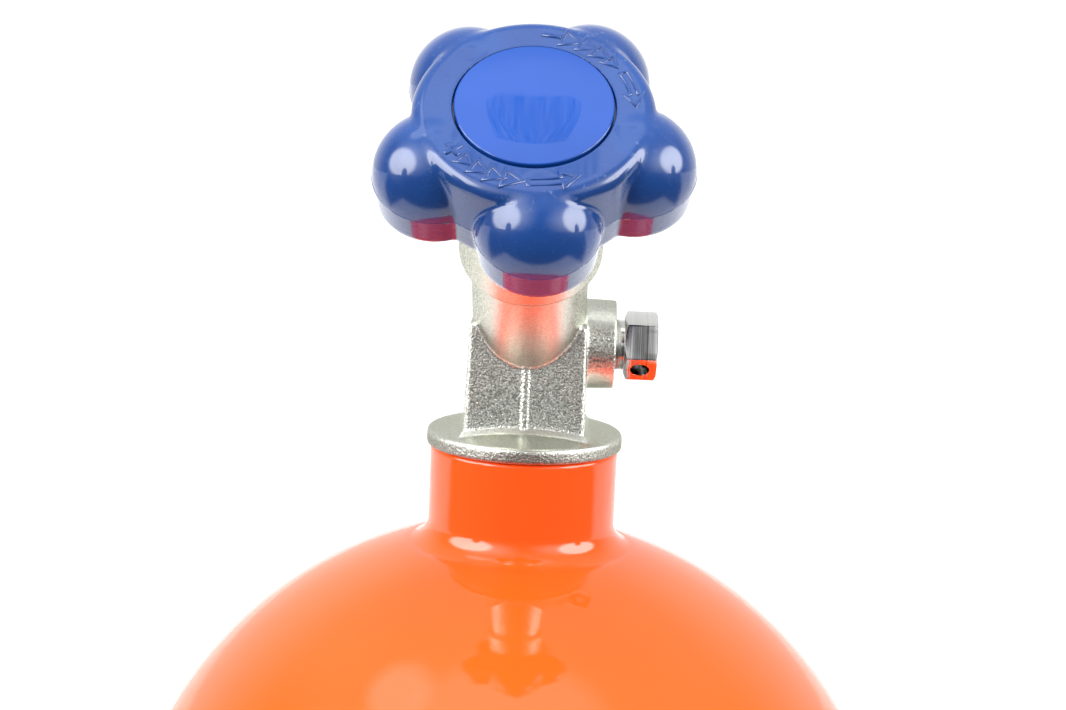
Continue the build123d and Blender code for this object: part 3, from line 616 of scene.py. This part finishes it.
def tank_profile():
    """The cylinder's closed half section, from the middle of its base round to its inside's floor."""
    dish_radius = (BASE_RING_INNER**2 + BASE_DISH**2) / (2 * BASE_DISH)
    dish_end = math.degrees(math.asin(BASE_RING_INNER / dish_radius))
    dish_centre = (0, BASE_DISH - dish_radius)
    fillet_centre_radius = NECK_RADIUS + NECK_FILLET
    reach = TANK_RADIUS + NECK_FILLET
    fillet_z = SHOULDER_Z + math.sqrt(reach**2 - fillet_centre_radius**2)
    tangent = math.degrees(math.acos(fillet_centre_radius / reach))
    inner_radius = TANK_RADIUS - WALL
    inner_z = SHOULDER_Z - INNER_DOME_DROP
    inner_end = math.degrees(math.acos(NECK_BORE / inner_radius))
    edge_z = NECK_TOP - NECK_EDGE_ROUND
    gland_z = NECK_TOP - GLAND_DEPTH
    points = arc(dish_centre, dish_radius, 90, 90 - dish_end, 14)
    points += line((BASE_RING_INNER, 0), (TANK_RADIUS - BASE_EDGE_ROUND, 0), 4)
    points += arc((TANK_RADIUS - BASE_EDGE_ROUND, BASE_EDGE_ROUND), BASE_EDGE_ROUND, -90, 0, 16)
    points += line((TANK_RADIUS, BASE_EDGE_ROUND), (TANK_RADIUS, SHOULDER_Z), 20)
    points += arc((0, SHOULDER_Z), TANK_RADIUS, 0, tangent, 90)
    points += arc((fillet_centre_radius, fillet_z), NECK_FILLET, 180 + tangent, 180, 14)
    points += line((NECK_RADIUS, fillet_z), (NECK_RADIUS, edge_z), 8)
    points += arc((NECK_RADIUS - NECK_EDGE_ROUND, edge_z), NECK_EDGE_ROUND, 0, 90, 8)
    points += [(GLAND_RADIUS, NECK_TOP), (GLAND_RADIUS, gland_z), (NECK_BORE, gland_z)]
    points += arc((0, inner_z), inner_radius, inner_end, 0, 24)
    corner_z = BASE_THICKNESS + INNER_CORNER
    points += line((inner_radius, inner_z), (inner_radius, corner_z), 8)
    points += arc((inner_radius - INNER_CORNER, corner_z), INNER_CORNER, 0, -90, 10)
    points += [(0, BASE_THICKNESS)]
    points[0] = (0, BASE_DISH)
    return points


def make_tank(material):
    """The painted shell, closed, with its hollow inside."""
    shell = lathe("tank_shell", tank_profile(), TANK_COLUMNS, upright)
    shell.data.materials.append(material)
    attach(shell, TANK_BODY)
    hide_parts("cylinder")


# ---------------------------------------------------------------- handwheel

def wheel_field(radius, angle, height, inset=0.0):
    """Roughly how far a point lies outside the handwheel's form, in millimetres.

    inset gives the form of its inside instead, that far in from the walls and under the roof.
    """
    above = np.maximum(height + PARTING_DEPTH, 0.0)
    below = np.maximum(-height - PARTING_DEPTH, 0.0)
    disc = DISC_RADIUS - inset - above * DISC_DRAFT - below * SKIRT_DRAFT
    top = -ROOF_DEPTH if inset else 0.0
    out = radius - (disc - DISC_EDGE_ROUND)
    up = height - (top - DISC_EDGE_ROUND)
    rounded = np.hypot(np.maximum(out, 0), np.maximum(up, 0)) + np.minimum(np.maximum(out, up), 0)
    disc_distance = rounded - DISC_EDGE_ROUND
    pitch_angle = 2 * math.pi / LOBE_COUNT
    turn = (angle - LOBE_START + pitch_angle / 2) % pitch_angle - pitch_angle / 2
    x = radius * np.cos(turn) - LOBE_PITCH
    y = radius * np.sin(turn)
    flat = np.hypot(x, y)
    ball = np.sqrt(flat**2 + above**2) - (LOBE_RADIUS - inset) + below * SKIRT_DRAFT
    blend = np.clip(0.5 + 0.5 * (ball - disc_distance) / BLEND, 0, 1)
    return ball * (1 - blend) + disc_distance * blend - BLEND * blend * (1 - blend)


def wheel_surface(angle, origin, direction, inset=0.0):
    """Where rays in the half plane at each angle leave the handwheel's form, found by bisection."""
    near = np.zeros(np.broadcast(angle, direction[0]).shape)
    far = np.full_like(near, WHEEL_REACH)
    for _ in range(40):
        middle = (near + far) / 2
        radius = origin[0] + direction[0] * middle
        height = origin[1] + direction[1] * middle
        inside = wheel_field(radius, angle, height, inset) < 0
        near = np.where(inside, middle, near)
        far = np.where(inside, far, middle)
    return origin[0] + direction[0] * far, origin[1] + direction[1] * far


def parting_steps():
    """Depths down the skirt, each with how far its surface stands off the drafted wall.

    First the flash at the parting line, then the wall, then the rounded lip.
    """
    steps = [(PARTING_DEPTH, PARTING_FLASH), (PARTING_DEPTH + PARTING_FLASH, 0.0)]
    wall = np.linspace(PARTING_DEPTH, WHEEL_DEPTH - SKIRT_LIP, 8)[1:]
    steps += [(depth, 0.0) for depth in wall]
    return steps + [(WHEEL_DEPTH - SKIRT_LIP_BREAK, -SKIRT_LIP_BREAK), (WHEEL_DEPTH, -SKIRT_LIP)]


def wheel_rows():
    """The handwheel as closed rows of (radius, height) for every column angle."""
    angles = np.arange(WHEEL_COLUMNS) * 2 * math.pi / WHEEL_COLUMNS
    rows = []

    def ring(radius, height):
        rows.append((np.full(WHEEL_COLUMNS, radius), np.full(WHEEL_COLUMNS, height)))

    lip = RECESS_RADIUS + RECESS_LIP
    for turn in (180, 150, 120, 90):
        a = math.radians(turn)
        ring(lip + RECESS_LIP * math.cos(a), -RECESS_LIP + RECESS_LIP * math.sin(a))
    for step in np.linspace(0, 1, WHEEL_TOP_ROWS)[1:]:
        a = math.radians(90 * (1 - step))
        rows.append(wheel_surface(angles, (lip, -PARTING_DEPTH), (math.cos(a), math.sin(a))))
    rows[-1] = (rows[-1][0], rows[-1][1] + PARTING_FLASH)
    for depth, stand_off in parting_steps():
        radius, _ = wheel_surface(angles, (lip, -depth), (1.0, 0.0))
        rows.append((radius + stand_off, np.full(WHEEL_COLUMNS, -depth)))
    under = (RECESS_RADIUS + 2.0, -WHEEL_DEPTH)
    for turn in np.linspace(0, 90, WHEEL_UNDER_ROWS):
        a = math.radians(turn)
        ray = (math.cos(a), math.sin(a))
        rows.append(wheel_surface(angles, under, ray, WHEEL_WALL + SKIRT_LIP))
    ring(BOSS_RADIUS, -ROOF_DEPTH)
    ring(BOSS_RADIUS, -BOSS_DEPTH)
    ring(HUB_RADIUS, -BOSS_DEPTH)
    ring(HUB_RADIUS, -HUB_DEPTH + HUB_EDGE_BREAK)
    ring(HUB_RADIUS - HUB_EDGE_BREAK, -HUB_DEPTH)
    ring(INSERT_RADIUS, -HUB_DEPTH)
    ring(INSERT_RADIUS, -POCKET_DEPTH)
    ring(POCKET_RADIUS, -POCKET_DEPTH)
    ring(POCKET_RADIUS, -RECESS_DEPTH)
    ring(RECESS_RADIUS, -RECESS_DEPTH)
    return angles, rows


def make_handwheel(material):
    """The moulded wheel, its rows of vertices joined round from the recess's lip to its floor."""
    angles, rows = wheel_rows()
    vertices = []
    for radius, height in rows:
        vertices += [on_stem(r, a, h) for r, a, h in zip(radius, angles, height)]
    faces = []
    for row in range(len(rows)):
        after = (row + 1) % len(rows)
        for c in range(WHEEL_COLUMNS):
            d = (c + 1) % WHEEL_COLUMNS
            low, high = row * WHEEL_COLUMNS, after * WHEEL_COLUMNS
            faces.append((low + c, high + c, high + d, low + d))
    wheel = add_mesh("handwheel_moulding", vertices, faces, 30.0)
    wheel.data.materials.append(material)
    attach(wheel, WHEEL_BODY)
    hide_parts("handwheel")


def make_ribs(material):
    """The webs under the wheel, from the pocket's wall out to the rim, their tops sunk in the roof."""
    vertices = []
    faces = []
    for k in range(RIB_COUNT):
        angle = LOBE_START + 2 * math.pi * k / RIB_COUNT
        here = np.array([angle])
        wall, _ = wheel_surface(here, (RECESS_RADIUS, -PARTING_DEPTH), (1.0, 0.0), WHEEL_WALL)
        first = len(vertices)
        for radius in np.linspace(BOSS_RADIUS - RIB_SINK, float(wall[0]) - 0.2, RIB_COLUMNS):
            _, roof = wheel_surface(here, (radius, -PARTING_DEPTH), (0.0, 1.0), WHEEL_WALL)
            for height in (min(float(roof[0]), -ROOF_DEPTH) + RIB_SINK, -RIB_DEPTH):
                for side in (-RIB_HALF_WIDTH, RIB_HALF_WIDTH):
                    vertices.append(on_stem(radius, angle + math.asin(side / radius), height))
        for c in range(RIB_COLUMNS - 1):
            near, far = first + 4 * c, first + 4 * c + 4
            for a, b in ((0, 1), (1, 3), (3, 2), (2, 0)):
                faces.append((near + a, near + b, far + b, far + a))
        last = first + 4 * (RIB_COLUMNS - 1)
        faces += [(first, first + 2, first + 3, first + 1), (last, last + 1, last + 3, last + 2)]
    ribs = add_mesh("handwheel_ribs", vertices, faces)
    ribs.data.materials.append(material)
    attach(ribs, WHEEL_BODY)


def ridge(path, vertices, faces):
    """Adds a closed raised line along a loop of (x, y) points on the wheel's top face."""
    count = len(path)
    first = len(vertices)
    for i, here in enumerate(path):
        before = (Vector(here) - Vector(path[i - 1])).normalized()
        after = (Vector(path[(i + 1) % count]) - Vector(here)).normalized()
        normal = Vector((-before.y - after.y, before.x + after.x)).normalized()
        miter = 1 / max(0.4, normal.dot(Vector((-before.y, before.x))))
        for across, high in MARK_SECTION:
            x = here[0] + normal.x * across * MARK_WIDTH * miter
            y = here[1] + normal.y * across * MARK_WIDTH * miter
            vertices.append(on_stem(math.hypot(x, y), math.atan2(y, x), high * MARK_HEIGHT))
    size = len(MARK_SECTION)
    for i in range(count):
        for j in range(size):
            a = first + i * size + j
            b = first + i * size + (j + 1) % size
            c = first + ((i + 1) % count) * size + (j + 1) % size
            d = first + ((i + 1) % count) * size + j
            faces.append((a, b, c, d))


def polar(radius, degrees):
    """A point at a radius and a turn round the stem axis."""
    return (radius * math.cos(math.radians(degrees)), radius * math.sin(math.radians(degrees)))


def arrow_path(start, tip, way):
    """The outline of an arrow bent round the stem axis."""
    mean = MARK_RADIUS + ARROW_OFFSET
    neck = tip - way * ARROW_HEAD_TURN
    turns = np.linspace(start, neck, 9)
    path = [polar(mean + ARROW_HALF_WIDTH, t) for t in turns]
    path.append(polar(mean + ARROW_HEAD_HALF_WIDTH, neck))
    path.append(polar(mean, tip))
    path.append(polar(mean - ARROW_HEAD_HALF_WIDTH, neck))
    path += [polar(mean - ARROW_HALF_WIDTH, t) for t in turns[::-1]]
    return path


def pointer_path(degrees, size, way):
    """The outline of a triangle that points round the stem axis."""
    centre = Vector(polar(MARK_RADIUS, degrees))
    out = centre.normalized()
    side = Vector((-out.y, out.x)) * way
    outline = [(-0.4 * size, 0.5 * size), (-0.4 * size, -0.5 * size), (0.5 * size, 0.0)]
    if way > 0:
        outline.reverse()
    return [tuple(centre + side * x + out * y) for x, y in outline]


def sign_path(degrees, with_upright):
    """The outline of a plus or minus sign that stands square to the radius."""
    a, h = SIGN_ARM, SIGN_HALF_WIDTH
    if with_upright:
        quarter = [(h, h), (h, a), (-h, a)]
        outline = []
        for _ in range(4):
            outline += quarter
            quarter = [(-y, x) for x, y in quarter]
    else:
        outline = [(a, h), (-a, h), (-a, -h), (a, -h)]
    centre = Vector(polar(MARK_RADIUS, degrees))
    out = centre.normalized()
    side = Vector((-out.y, out.x))
    return [tuple(centre + side * x + out * y) for x, y in outline]


def make_marks(material):
    """Raised signs for the ways the valve turns: minus closes clockwise, plus opens the other way."""
    vertices = []
    faces = []
    for scale in (CLOSING_SCALE, OPENING_SCALE):
        ridge(sign_path(scale["sign"], scale["upright"]), vertices, faces)
        start, tip = scale["arrow"]
        way = 1 if tip > start else -1
        for turn, size in zip(scale["pointers"], scale["sizes"]):
            ridge(pointer_path(turn, size, way), vertices, faces)
        ridge(arrow_path(start, tip, way), vertices, faces)
    marks = add_mesh("turning_marks", vertices, faces, 60.0)
    marks.data.materials.append(material)
    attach(marks, WHEEL_BODY)


def make_cap(material):
    """The snap-in cap, with a rounded edge that stands proud of the wheel."""
    round_centre = (CAP_RADIUS - CAP_EDGE_ROUND, CAP_PROUD - CAP_EDGE_ROUND)
    profile = [(0, CAP_PROUD), (CAP_RADIUS * 0.5, CAP_PROUD)]
    profile += arc(round_centre, CAP_EDGE_ROUND, 90, 0, 10)
    profile += [
        (CAP_RADIUS, -CAP_THICKNESS),
        (CAP_RIM_RADIUS, -CAP_THICKNESS),
        (CAP_RIM_RADIUS, -CAP_RIM_DEPTH),
        (CAP_RIM_RADIUS - CAP_RIM_WALL, -CAP_RIM_DEPTH),
        (CAP_RIM_RADIUS - CAP_RIM_WALL, -CAP_THICKNESS),
        (0, -CAP_THICKNESS),
    ]
    cap = lathe("cap_moulding", profile, CAP_COLUMNS, on_stem, 40.0)
    cap.data.materials.append(material)
    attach(cap, WHEEL_BODY)
    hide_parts("handwheel_cap")


# ---------------------------------------------------------------- valve

def apply_modifiers(piece):
    """Bakes a piece's modifiers into its mesh."""
    graph = bpy.context.evaluated_depsgraph_get()
    mesh = bpy.data.meshes.new_from_object(piece.evaluated_get(graph))
    piece.modifiers.clear()
    piece.data = mesh


def copy_of(node, name):
    """A new object with a copy of a CAD node's mesh."""
    piece = bpy.data.objects.new(name, NODES[node].data.copy())
    bpy.context.scene.collection.objects.link(piece)
    return piece


def crown(x, y):
    """Height of the flange's domed top at a point."""
    return CROWN_APEX - (x * x + y * y) / (2 * CROWN_RADIUS)


def foot_fillet():
    """A skirt round the foot of the valve's block, which the remesh melts into a fillet."""
    outline = []
    for k in range(4):
        for step in np.linspace(-1, 1, 12, endpoint=False):
            outline.append(((step, -1), (1, step), (-step, 1), (-1, -step))[k])
    vertices = []
    for spread, lift in ((FOOT_FILLET, -FOOT_SINK), (-FOOT_OVERLAP, FOOT_FILLET)):
        for across, along in outline:
            x, y = across * (BLOCK_HALF.x + spread), along * (BLOCK_HALF.y + spread)
            vertices.append((x, y, crown(x, y) + lift))
    count = len(outline)
    faces = [(i, (i + 1) % count, count + (i + 1) % count, count + i) for i in range(count)]
    faces += [tuple(range(count))[::-1], tuple(range(count, 2 * count))]
    return vertices, faces


def flash_line():
    """The raised line left down the block's front face where the forging dies met."""
    vertices = []
    for height in (FLASH_LOW, FLASH_HIGH):
        face = -BLOCK_HALF.y + FLASH_DRAFT * (height - FLASH_LOW)
        for x, y in ((-1, FLASH_ROOT), (1, FLASH_ROOT), (1, -FLASH_PROUD), (-1, -FLASH_PROUD)):
            vertices.append((x * FLASH_HALF_WIDTH, face + y, height))
    faces = [(0, 1, 2, 3), (7, 6, 5, 4), (0, 4, 5, 1), (1, 5, 6, 2), (2, 6, 7, 3), (3, 7, 4, 0)]
    return vertices, faces


def make_forging(material):
    """The valve's body with the soft corners and small fillets of a forging."""
    forging = copy_of("valve_body", "valve_forging")
    mesh = bmesh.new()
    mesh.from_mesh(forging.data)
    for vertices, faces in (foot_fillet(), flash_line()):
        added = [mesh.verts.new(v) for v in vertices]
        for face in faces:
            mesh.faces.new([added[i] for i in face])
    mesh.to_mesh(forging.data)
    mesh.free()
    remesh = forging.modifiers.new("remesh", "REMESH")
    remesh.mode = "VOXEL"
    remesh.voxel_size = FORGING_VOXEL
    soften = forging.modifiers.new("soften", "SMOOTH")
    soften.factor = 0.5
    soften.iterations = FORGING_SMOOTHING
    apply_modifiers(forging)
    forging.data.shade_smooth()
    forging.data.materials.clear()
    forging.data.materials.append(material)
    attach(forging, TANK_BODY)
    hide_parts("valve_body")


def make_plug(material):
    """The safety plug with its corners broken."""
    plug = copy_of("safety_plug", "plug_machined")
    weld = plug.modifiers.new("weld", "WELD")
    weld.merge_threshold = PLUG_WELD
    bevel = plug.modifiers.new("bevel", "BEVEL")
    bevel.width = PLUG_EDGE_BREAK
    bevel.segments = 2
    bevel.limit_method = "ANGLE"
    bevel.angle_limit = math.radians(35)
    apply_modifiers(plug)
    plug.data.shade_smooth()
    plug.data.set_sharp_from_angle(angle=math.radians(22))
    plug.data.materials.clear()
    plug.data.materials.append(material)
    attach(plug, TANK_BODY)
    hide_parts("safety_plug")


def make_outlet(material):
    """The outlet with a real helical thread, its ends run out to the root."""
    start = OUTLET_LOW.y
    end = OUTLET_HIGH.y
    relief = end - OUTLET_RELIEF
    thread_start = relief + OUTLET_THREAD_START
    thread_end = end - OUTLET_THREAD_END
    root = OUTLET_THREAD_RADIUS - OUTLET_THREAD_DEPTH
    rows = [(OUTLET_BORE, start), (OUTLET_SPIGOT, start), (OUTLET_SPIGOT, relief)]
    rows += [(root, relief), (root, thread_start)]
    flat = len(rows)
    turns = (thread_end - thread_start) / OUTLET_PITCH
    count = int(turns * OUTLET_ROWS_PER_TURN)
    rows += [(root, thread_start + (thread_end - thread_start) * i / count) for i in range(1, count)]
    threaded = len(rows)
    rows += [(root, thread_end), (root - OUTLET_EDGE_BREAK, end)]
    rows += [(OUTLET_MOUTH, end), (OUTLET_BORE, end - OUTLET_MOUTH_DEPTH)]
    vertices = []
    for i, (radius, y) in enumerate(rows):
        for c in range(OUTLET_COLUMNS):
            angle = 2 * math.pi * c / OUTLET_COLUMNS
            lift = 0.0
            if flat <= i < threaded:
                phase = ((y - thread_start) / OUTLET_PITCH - c / OUTLET_COLUMNS) % 1
                slope = 2 * (1 + TOOTH_FLAT) / TOOTH_WIDTH
                tooth = min(1.0, max(0.0, 1 + TOOTH_FLAT - abs(phase - 0.5) * slope))
                run_out = min(1.0, (y - thread_start) / OUTLET_PITCH, (thread_end - y) / OUTLET_PITCH)
                lift = OUTLET_THREAD_DEPTH * tooth * run_out
            vertices.append(on_outlet(radius + lift, angle, y))
    faces = []
    for i in range(len(rows)):
        after = (i + 1) % len(rows)
        for c in range(OUTLET_COLUMNS):
            d = (c + 1) % OUTLET_COLUMNS
            low, high = i * OUTLET_COLUMNS, after * OUTLET_COLUMNS
            faces.append((low + c, low + d, high + d, high + c))
    outlet = add_mesh("outlet_threaded", vertices, faces, 30.0)
    outlet.data.materials.append(material)
    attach(outlet, TANK_BODY)
    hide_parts("outlet_nipple")


# ---------------------------------------------------------------- stage

def make_camera():
    """The camera, a little above the wheel's height and a little rolled."""
    forward = Vector((
        math.sin(CAMERA_YAW) * math.cos(CAMERA_PITCH),
        math.cos(CAMERA_YAW) * math.cos(CAMERA_PITCH),
        math.sin(CAMERA_PITCH),
    ))
    right = Vector((math.cos(CAMERA_YAW), -math.sin(CAMERA_YAW), 0))
    up = right.cross(forward)
    rolled_right = right * math.cos(CAMERA_ROLL) + up * math.sin(CAMERA_ROLL)
    rolled_up = up * math.cos(CAMERA_ROLL) - right * math.sin(CAMERA_ROLL)
    data = bpy.data.cameras.new("camera")
    data.lens = CAMERA_LENS
    data.sensor_width = 36
    data.clip_start = 0.01
    camera = bpy.data.objects.new("camera", data)
    rotation = Matrix((rolled_right, rolled_up, -forward)).transposed().to_4x4()
    camera.matrix_world = Matrix.Translation(CAMERA_PLACE) @ rotation
    bpy.context.scene.collection.objects.link(camera)
    bpy.context.scene.camera = camera


def make_floor():
    """A pale table top that falls off into the dark of the room in front."""
    bpy.ops.mesh.primitive_circle_add(
        vertices=96, radius=FLOOR_RADIUS, fill_type="NGON", location=(0, 0, 0)
    )
    floor = bpy.context.object
    floor.name = "floor"
    n = Nodes("pale_floor")
    n.set(Roughness=0.9)
    n.shader.inputs["Specular IOR Level"].default_value = 0.1
    cloth = n.mix(n.noise(2.0), (0.66, 0.66, 0.66), (0.70, 0.70, 0.70))
    ahead = n.axis((0, 1, 0))
    aside = n.math("ABSOLUTE", n.axis((1, 0, 0)), 0.0)
    depth = n.ease(ahead, 0.0, 1.0, TABLE_FRONT - TABLE_FRONT_EDGE, TABLE_FRONT + TABLE_FRONT_EDGE)
    width = n.ease(aside, 1.0, 0.0, TABLE_SIDE - TABLE_SIDE_EDGE, TABLE_SIDE + TABLE_SIDE_EDGE)
    table = n.math("MULTIPLY", depth, width)
    near, far = (BACKDROP + edge for edge in BACKDROP_EDGE)
    lit = n.math("MAXIMUM", table, n.ease(ahead, ROOM_SHADE, 1.0, near, far))
    shade = n.mix(lit, (0.0, 0.0, 0.0), (1.0, 1.0, 1.0))
    multiply = n.tree.nodes.new("ShaderNodeVectorMath")
    multiply.operation = "MULTIPLY"
    n.link(cloth, multiply.inputs[0])
    n.link(shade, multiply.inputs[1])
    n.colour(multiply.outputs["Vector"])
    floor.data.materials.append(n.material)


def from_angles(azimuth, elevation):
    """A direction given by its azimuth from the front, towards +X, and its elevation."""
    a, e = math.radians(azimuth), math.radians(elevation)
    return Vector((math.sin(a) * math.cos(e), -math.cos(a) * math.cos(e), math.sin(e)))


def blob(n, azimuth, elevation, half_across, half_up, peak, inner=0.0):
    """A soft-edged patch of light in the world, in the direction given, with its half angles."""
    centre = from_angles(azimuth, elevation)
    across = Vector((0, 0, 1)).cross(centre).normalized()
    up = centre.cross(across)
    u = n.math("DIVIDE", n.axis(across), math.sin(math.radians(half_across)))
    v = n.math("DIVIDE", n.axis(up), math.sin(math.radians(half_up)))
    reach = n.math("SQRT", n.math("ADD", n.math("MULTIPLY", u, u), n.math("MULTIPLY", v, v)), 0.0)
    patch = n.ease(reach, peak, 0.0, inner, 1.0)
    return n.math("MULTIPLY", patch, n.math("GREATER_THAN", n.axis(centre), 0.0))


def ceiling_blind(n):
    """The light lost to a pleated blind overhead, which the wheel's flat cap mirrors."""
    up = n.math("MAXIMUM", n.axis((0, 0, 1)), 0.01)
    across = n.math("DIVIDE", n.axis((1, 0, 0)), up)
    along = n.math("DIVIDE", n.axis((0, 1, 0)), up)
    left, right = BLIND_ACROSS
    front, back = BLIND_ALONG
    mask = n.ease(across, 0.0, 1.0, left, left + BLIND_EDGE)
    mask = n.math("MULTIPLY", mask, n.ease(across, 1.0, 0.0, right - BLIND_EDGE, right))
    mask = n.math("MULTIPLY", mask, n.ease(along, 1.0, 0.0, back - BLIND_EDGE, back))
    mask = n.math("MULTIPLY", mask, n.ease(along, 0.0, 1.0, front, front + BLIND_FRONT_EDGE))
    pleats = n.grey(n.noise(1.0, 2.0, 0.6, n.mapped((420.0, 25.0, 1.0))), 0.3, 1.6, 0.38, 0.62)
    return n.math("MULTIPLY", n.math("MULTIPLY", mask, pleats), BLIND_DEPTH)


def make_light():
    """Two umbrellas at the sides, a pale room behind and above, and the dark of the room in front."""
    world = bpy.data.worlds.new("studio")
    bpy.context.scene.world = world
    n = Nodes("studio", world)
    y = n.axis((0, 1, 0))
    z = n.axis((0, 0, 1))
    front = n.ease(y, FRONT_LIGHT, SIDE_LIGHT, *FRONT_TO_SIDE)
    low = n.math("ADD", front, n.ease(y, 0.0, BACK_LIGHT - SIDE_LIGHT, *SIDE_TO_BACK))
    lift = n.ease(z, 0.0, 1.0, *LOW_TO_HIGH)
    low = n.math("MULTIPLY", low, n.math("SUBTRACT", 1.0, lift))
    room = n.math("ADD", low, n.math("MULTIPLY", lift, HIGH_LIGHT))
    for patch in SOFT_PATCHES:
        room = n.math("ADD", room, blob(n, *patch))
    for shaft in LAMP_SHAFTS:
        hidden = n.math("SUBTRACT", 1.0, blob(n, *shaft))
        room = n.math("MULTIPLY", room, hidden)
    n.link(n.math("SUBTRACT", room, ceiling_blind(n)), n.shader.inputs["Strength"])
    n.set(Color=(1, 1, 1, 1))
    data = bpy.data.lights.new("overhead", "AREA")
    data.shape = "DISK"
    data.size = OVERHEAD_SIZE
    data.energy = OVERHEAD_POWER
    lamp = bpy.data.objects.new("overhead", data)
    lamp.location = OVERHEAD_PLACE
    lamp.visible_camera = False
    lamp.visible_glossy = False
    bpy.context.scene.collection.objects.link(lamp)


def paint_nodes():
    """Gives each CAD node that stays in view its material."""
    turned = turned_nickel()
    brass = plain_brass()
    steel = small_steel()
    white = white_seal()
    rubber = seal_rubber()
    metal = copper()
    cover = {
        "bonnet_nut": turned,
        "dip_tube": brass,
        "hub_insert": brass,
        "upper_stem": brass,
        "lower_stem": brass,
        "neck_o_ring": rubber,
        "stem_o_rings": rubber,
        "bonnet_gasket": white,
        "thrust_washer": white,
        "seat_insert": white,
        "burst_disc": metal,
        "burst_disc_gasket": metal,
        "handwheel_washer": steel,
        "handwheel_spring": steel,
        "handwheel_nut": steel,
    }
    for name, material in cover.items():
        node = NODES[name]
        node.data.materials.clear()
        node.data.materials.append(material)


bpy.context.scene.view_settings.view_transform = "Standard"
make_camera()
make_floor()
make_light()
paint_nodes()
make_tank(orange_paint())
blue = wheel_plastic()
make_handwheel(blue)
make_ribs(blue)
make_marks(blue)
make_cap(cap_plastic())
make_forging(forged_nickel())
make_plug(chrome())
make_outlet(turned_nickel("outlet_nickel"))
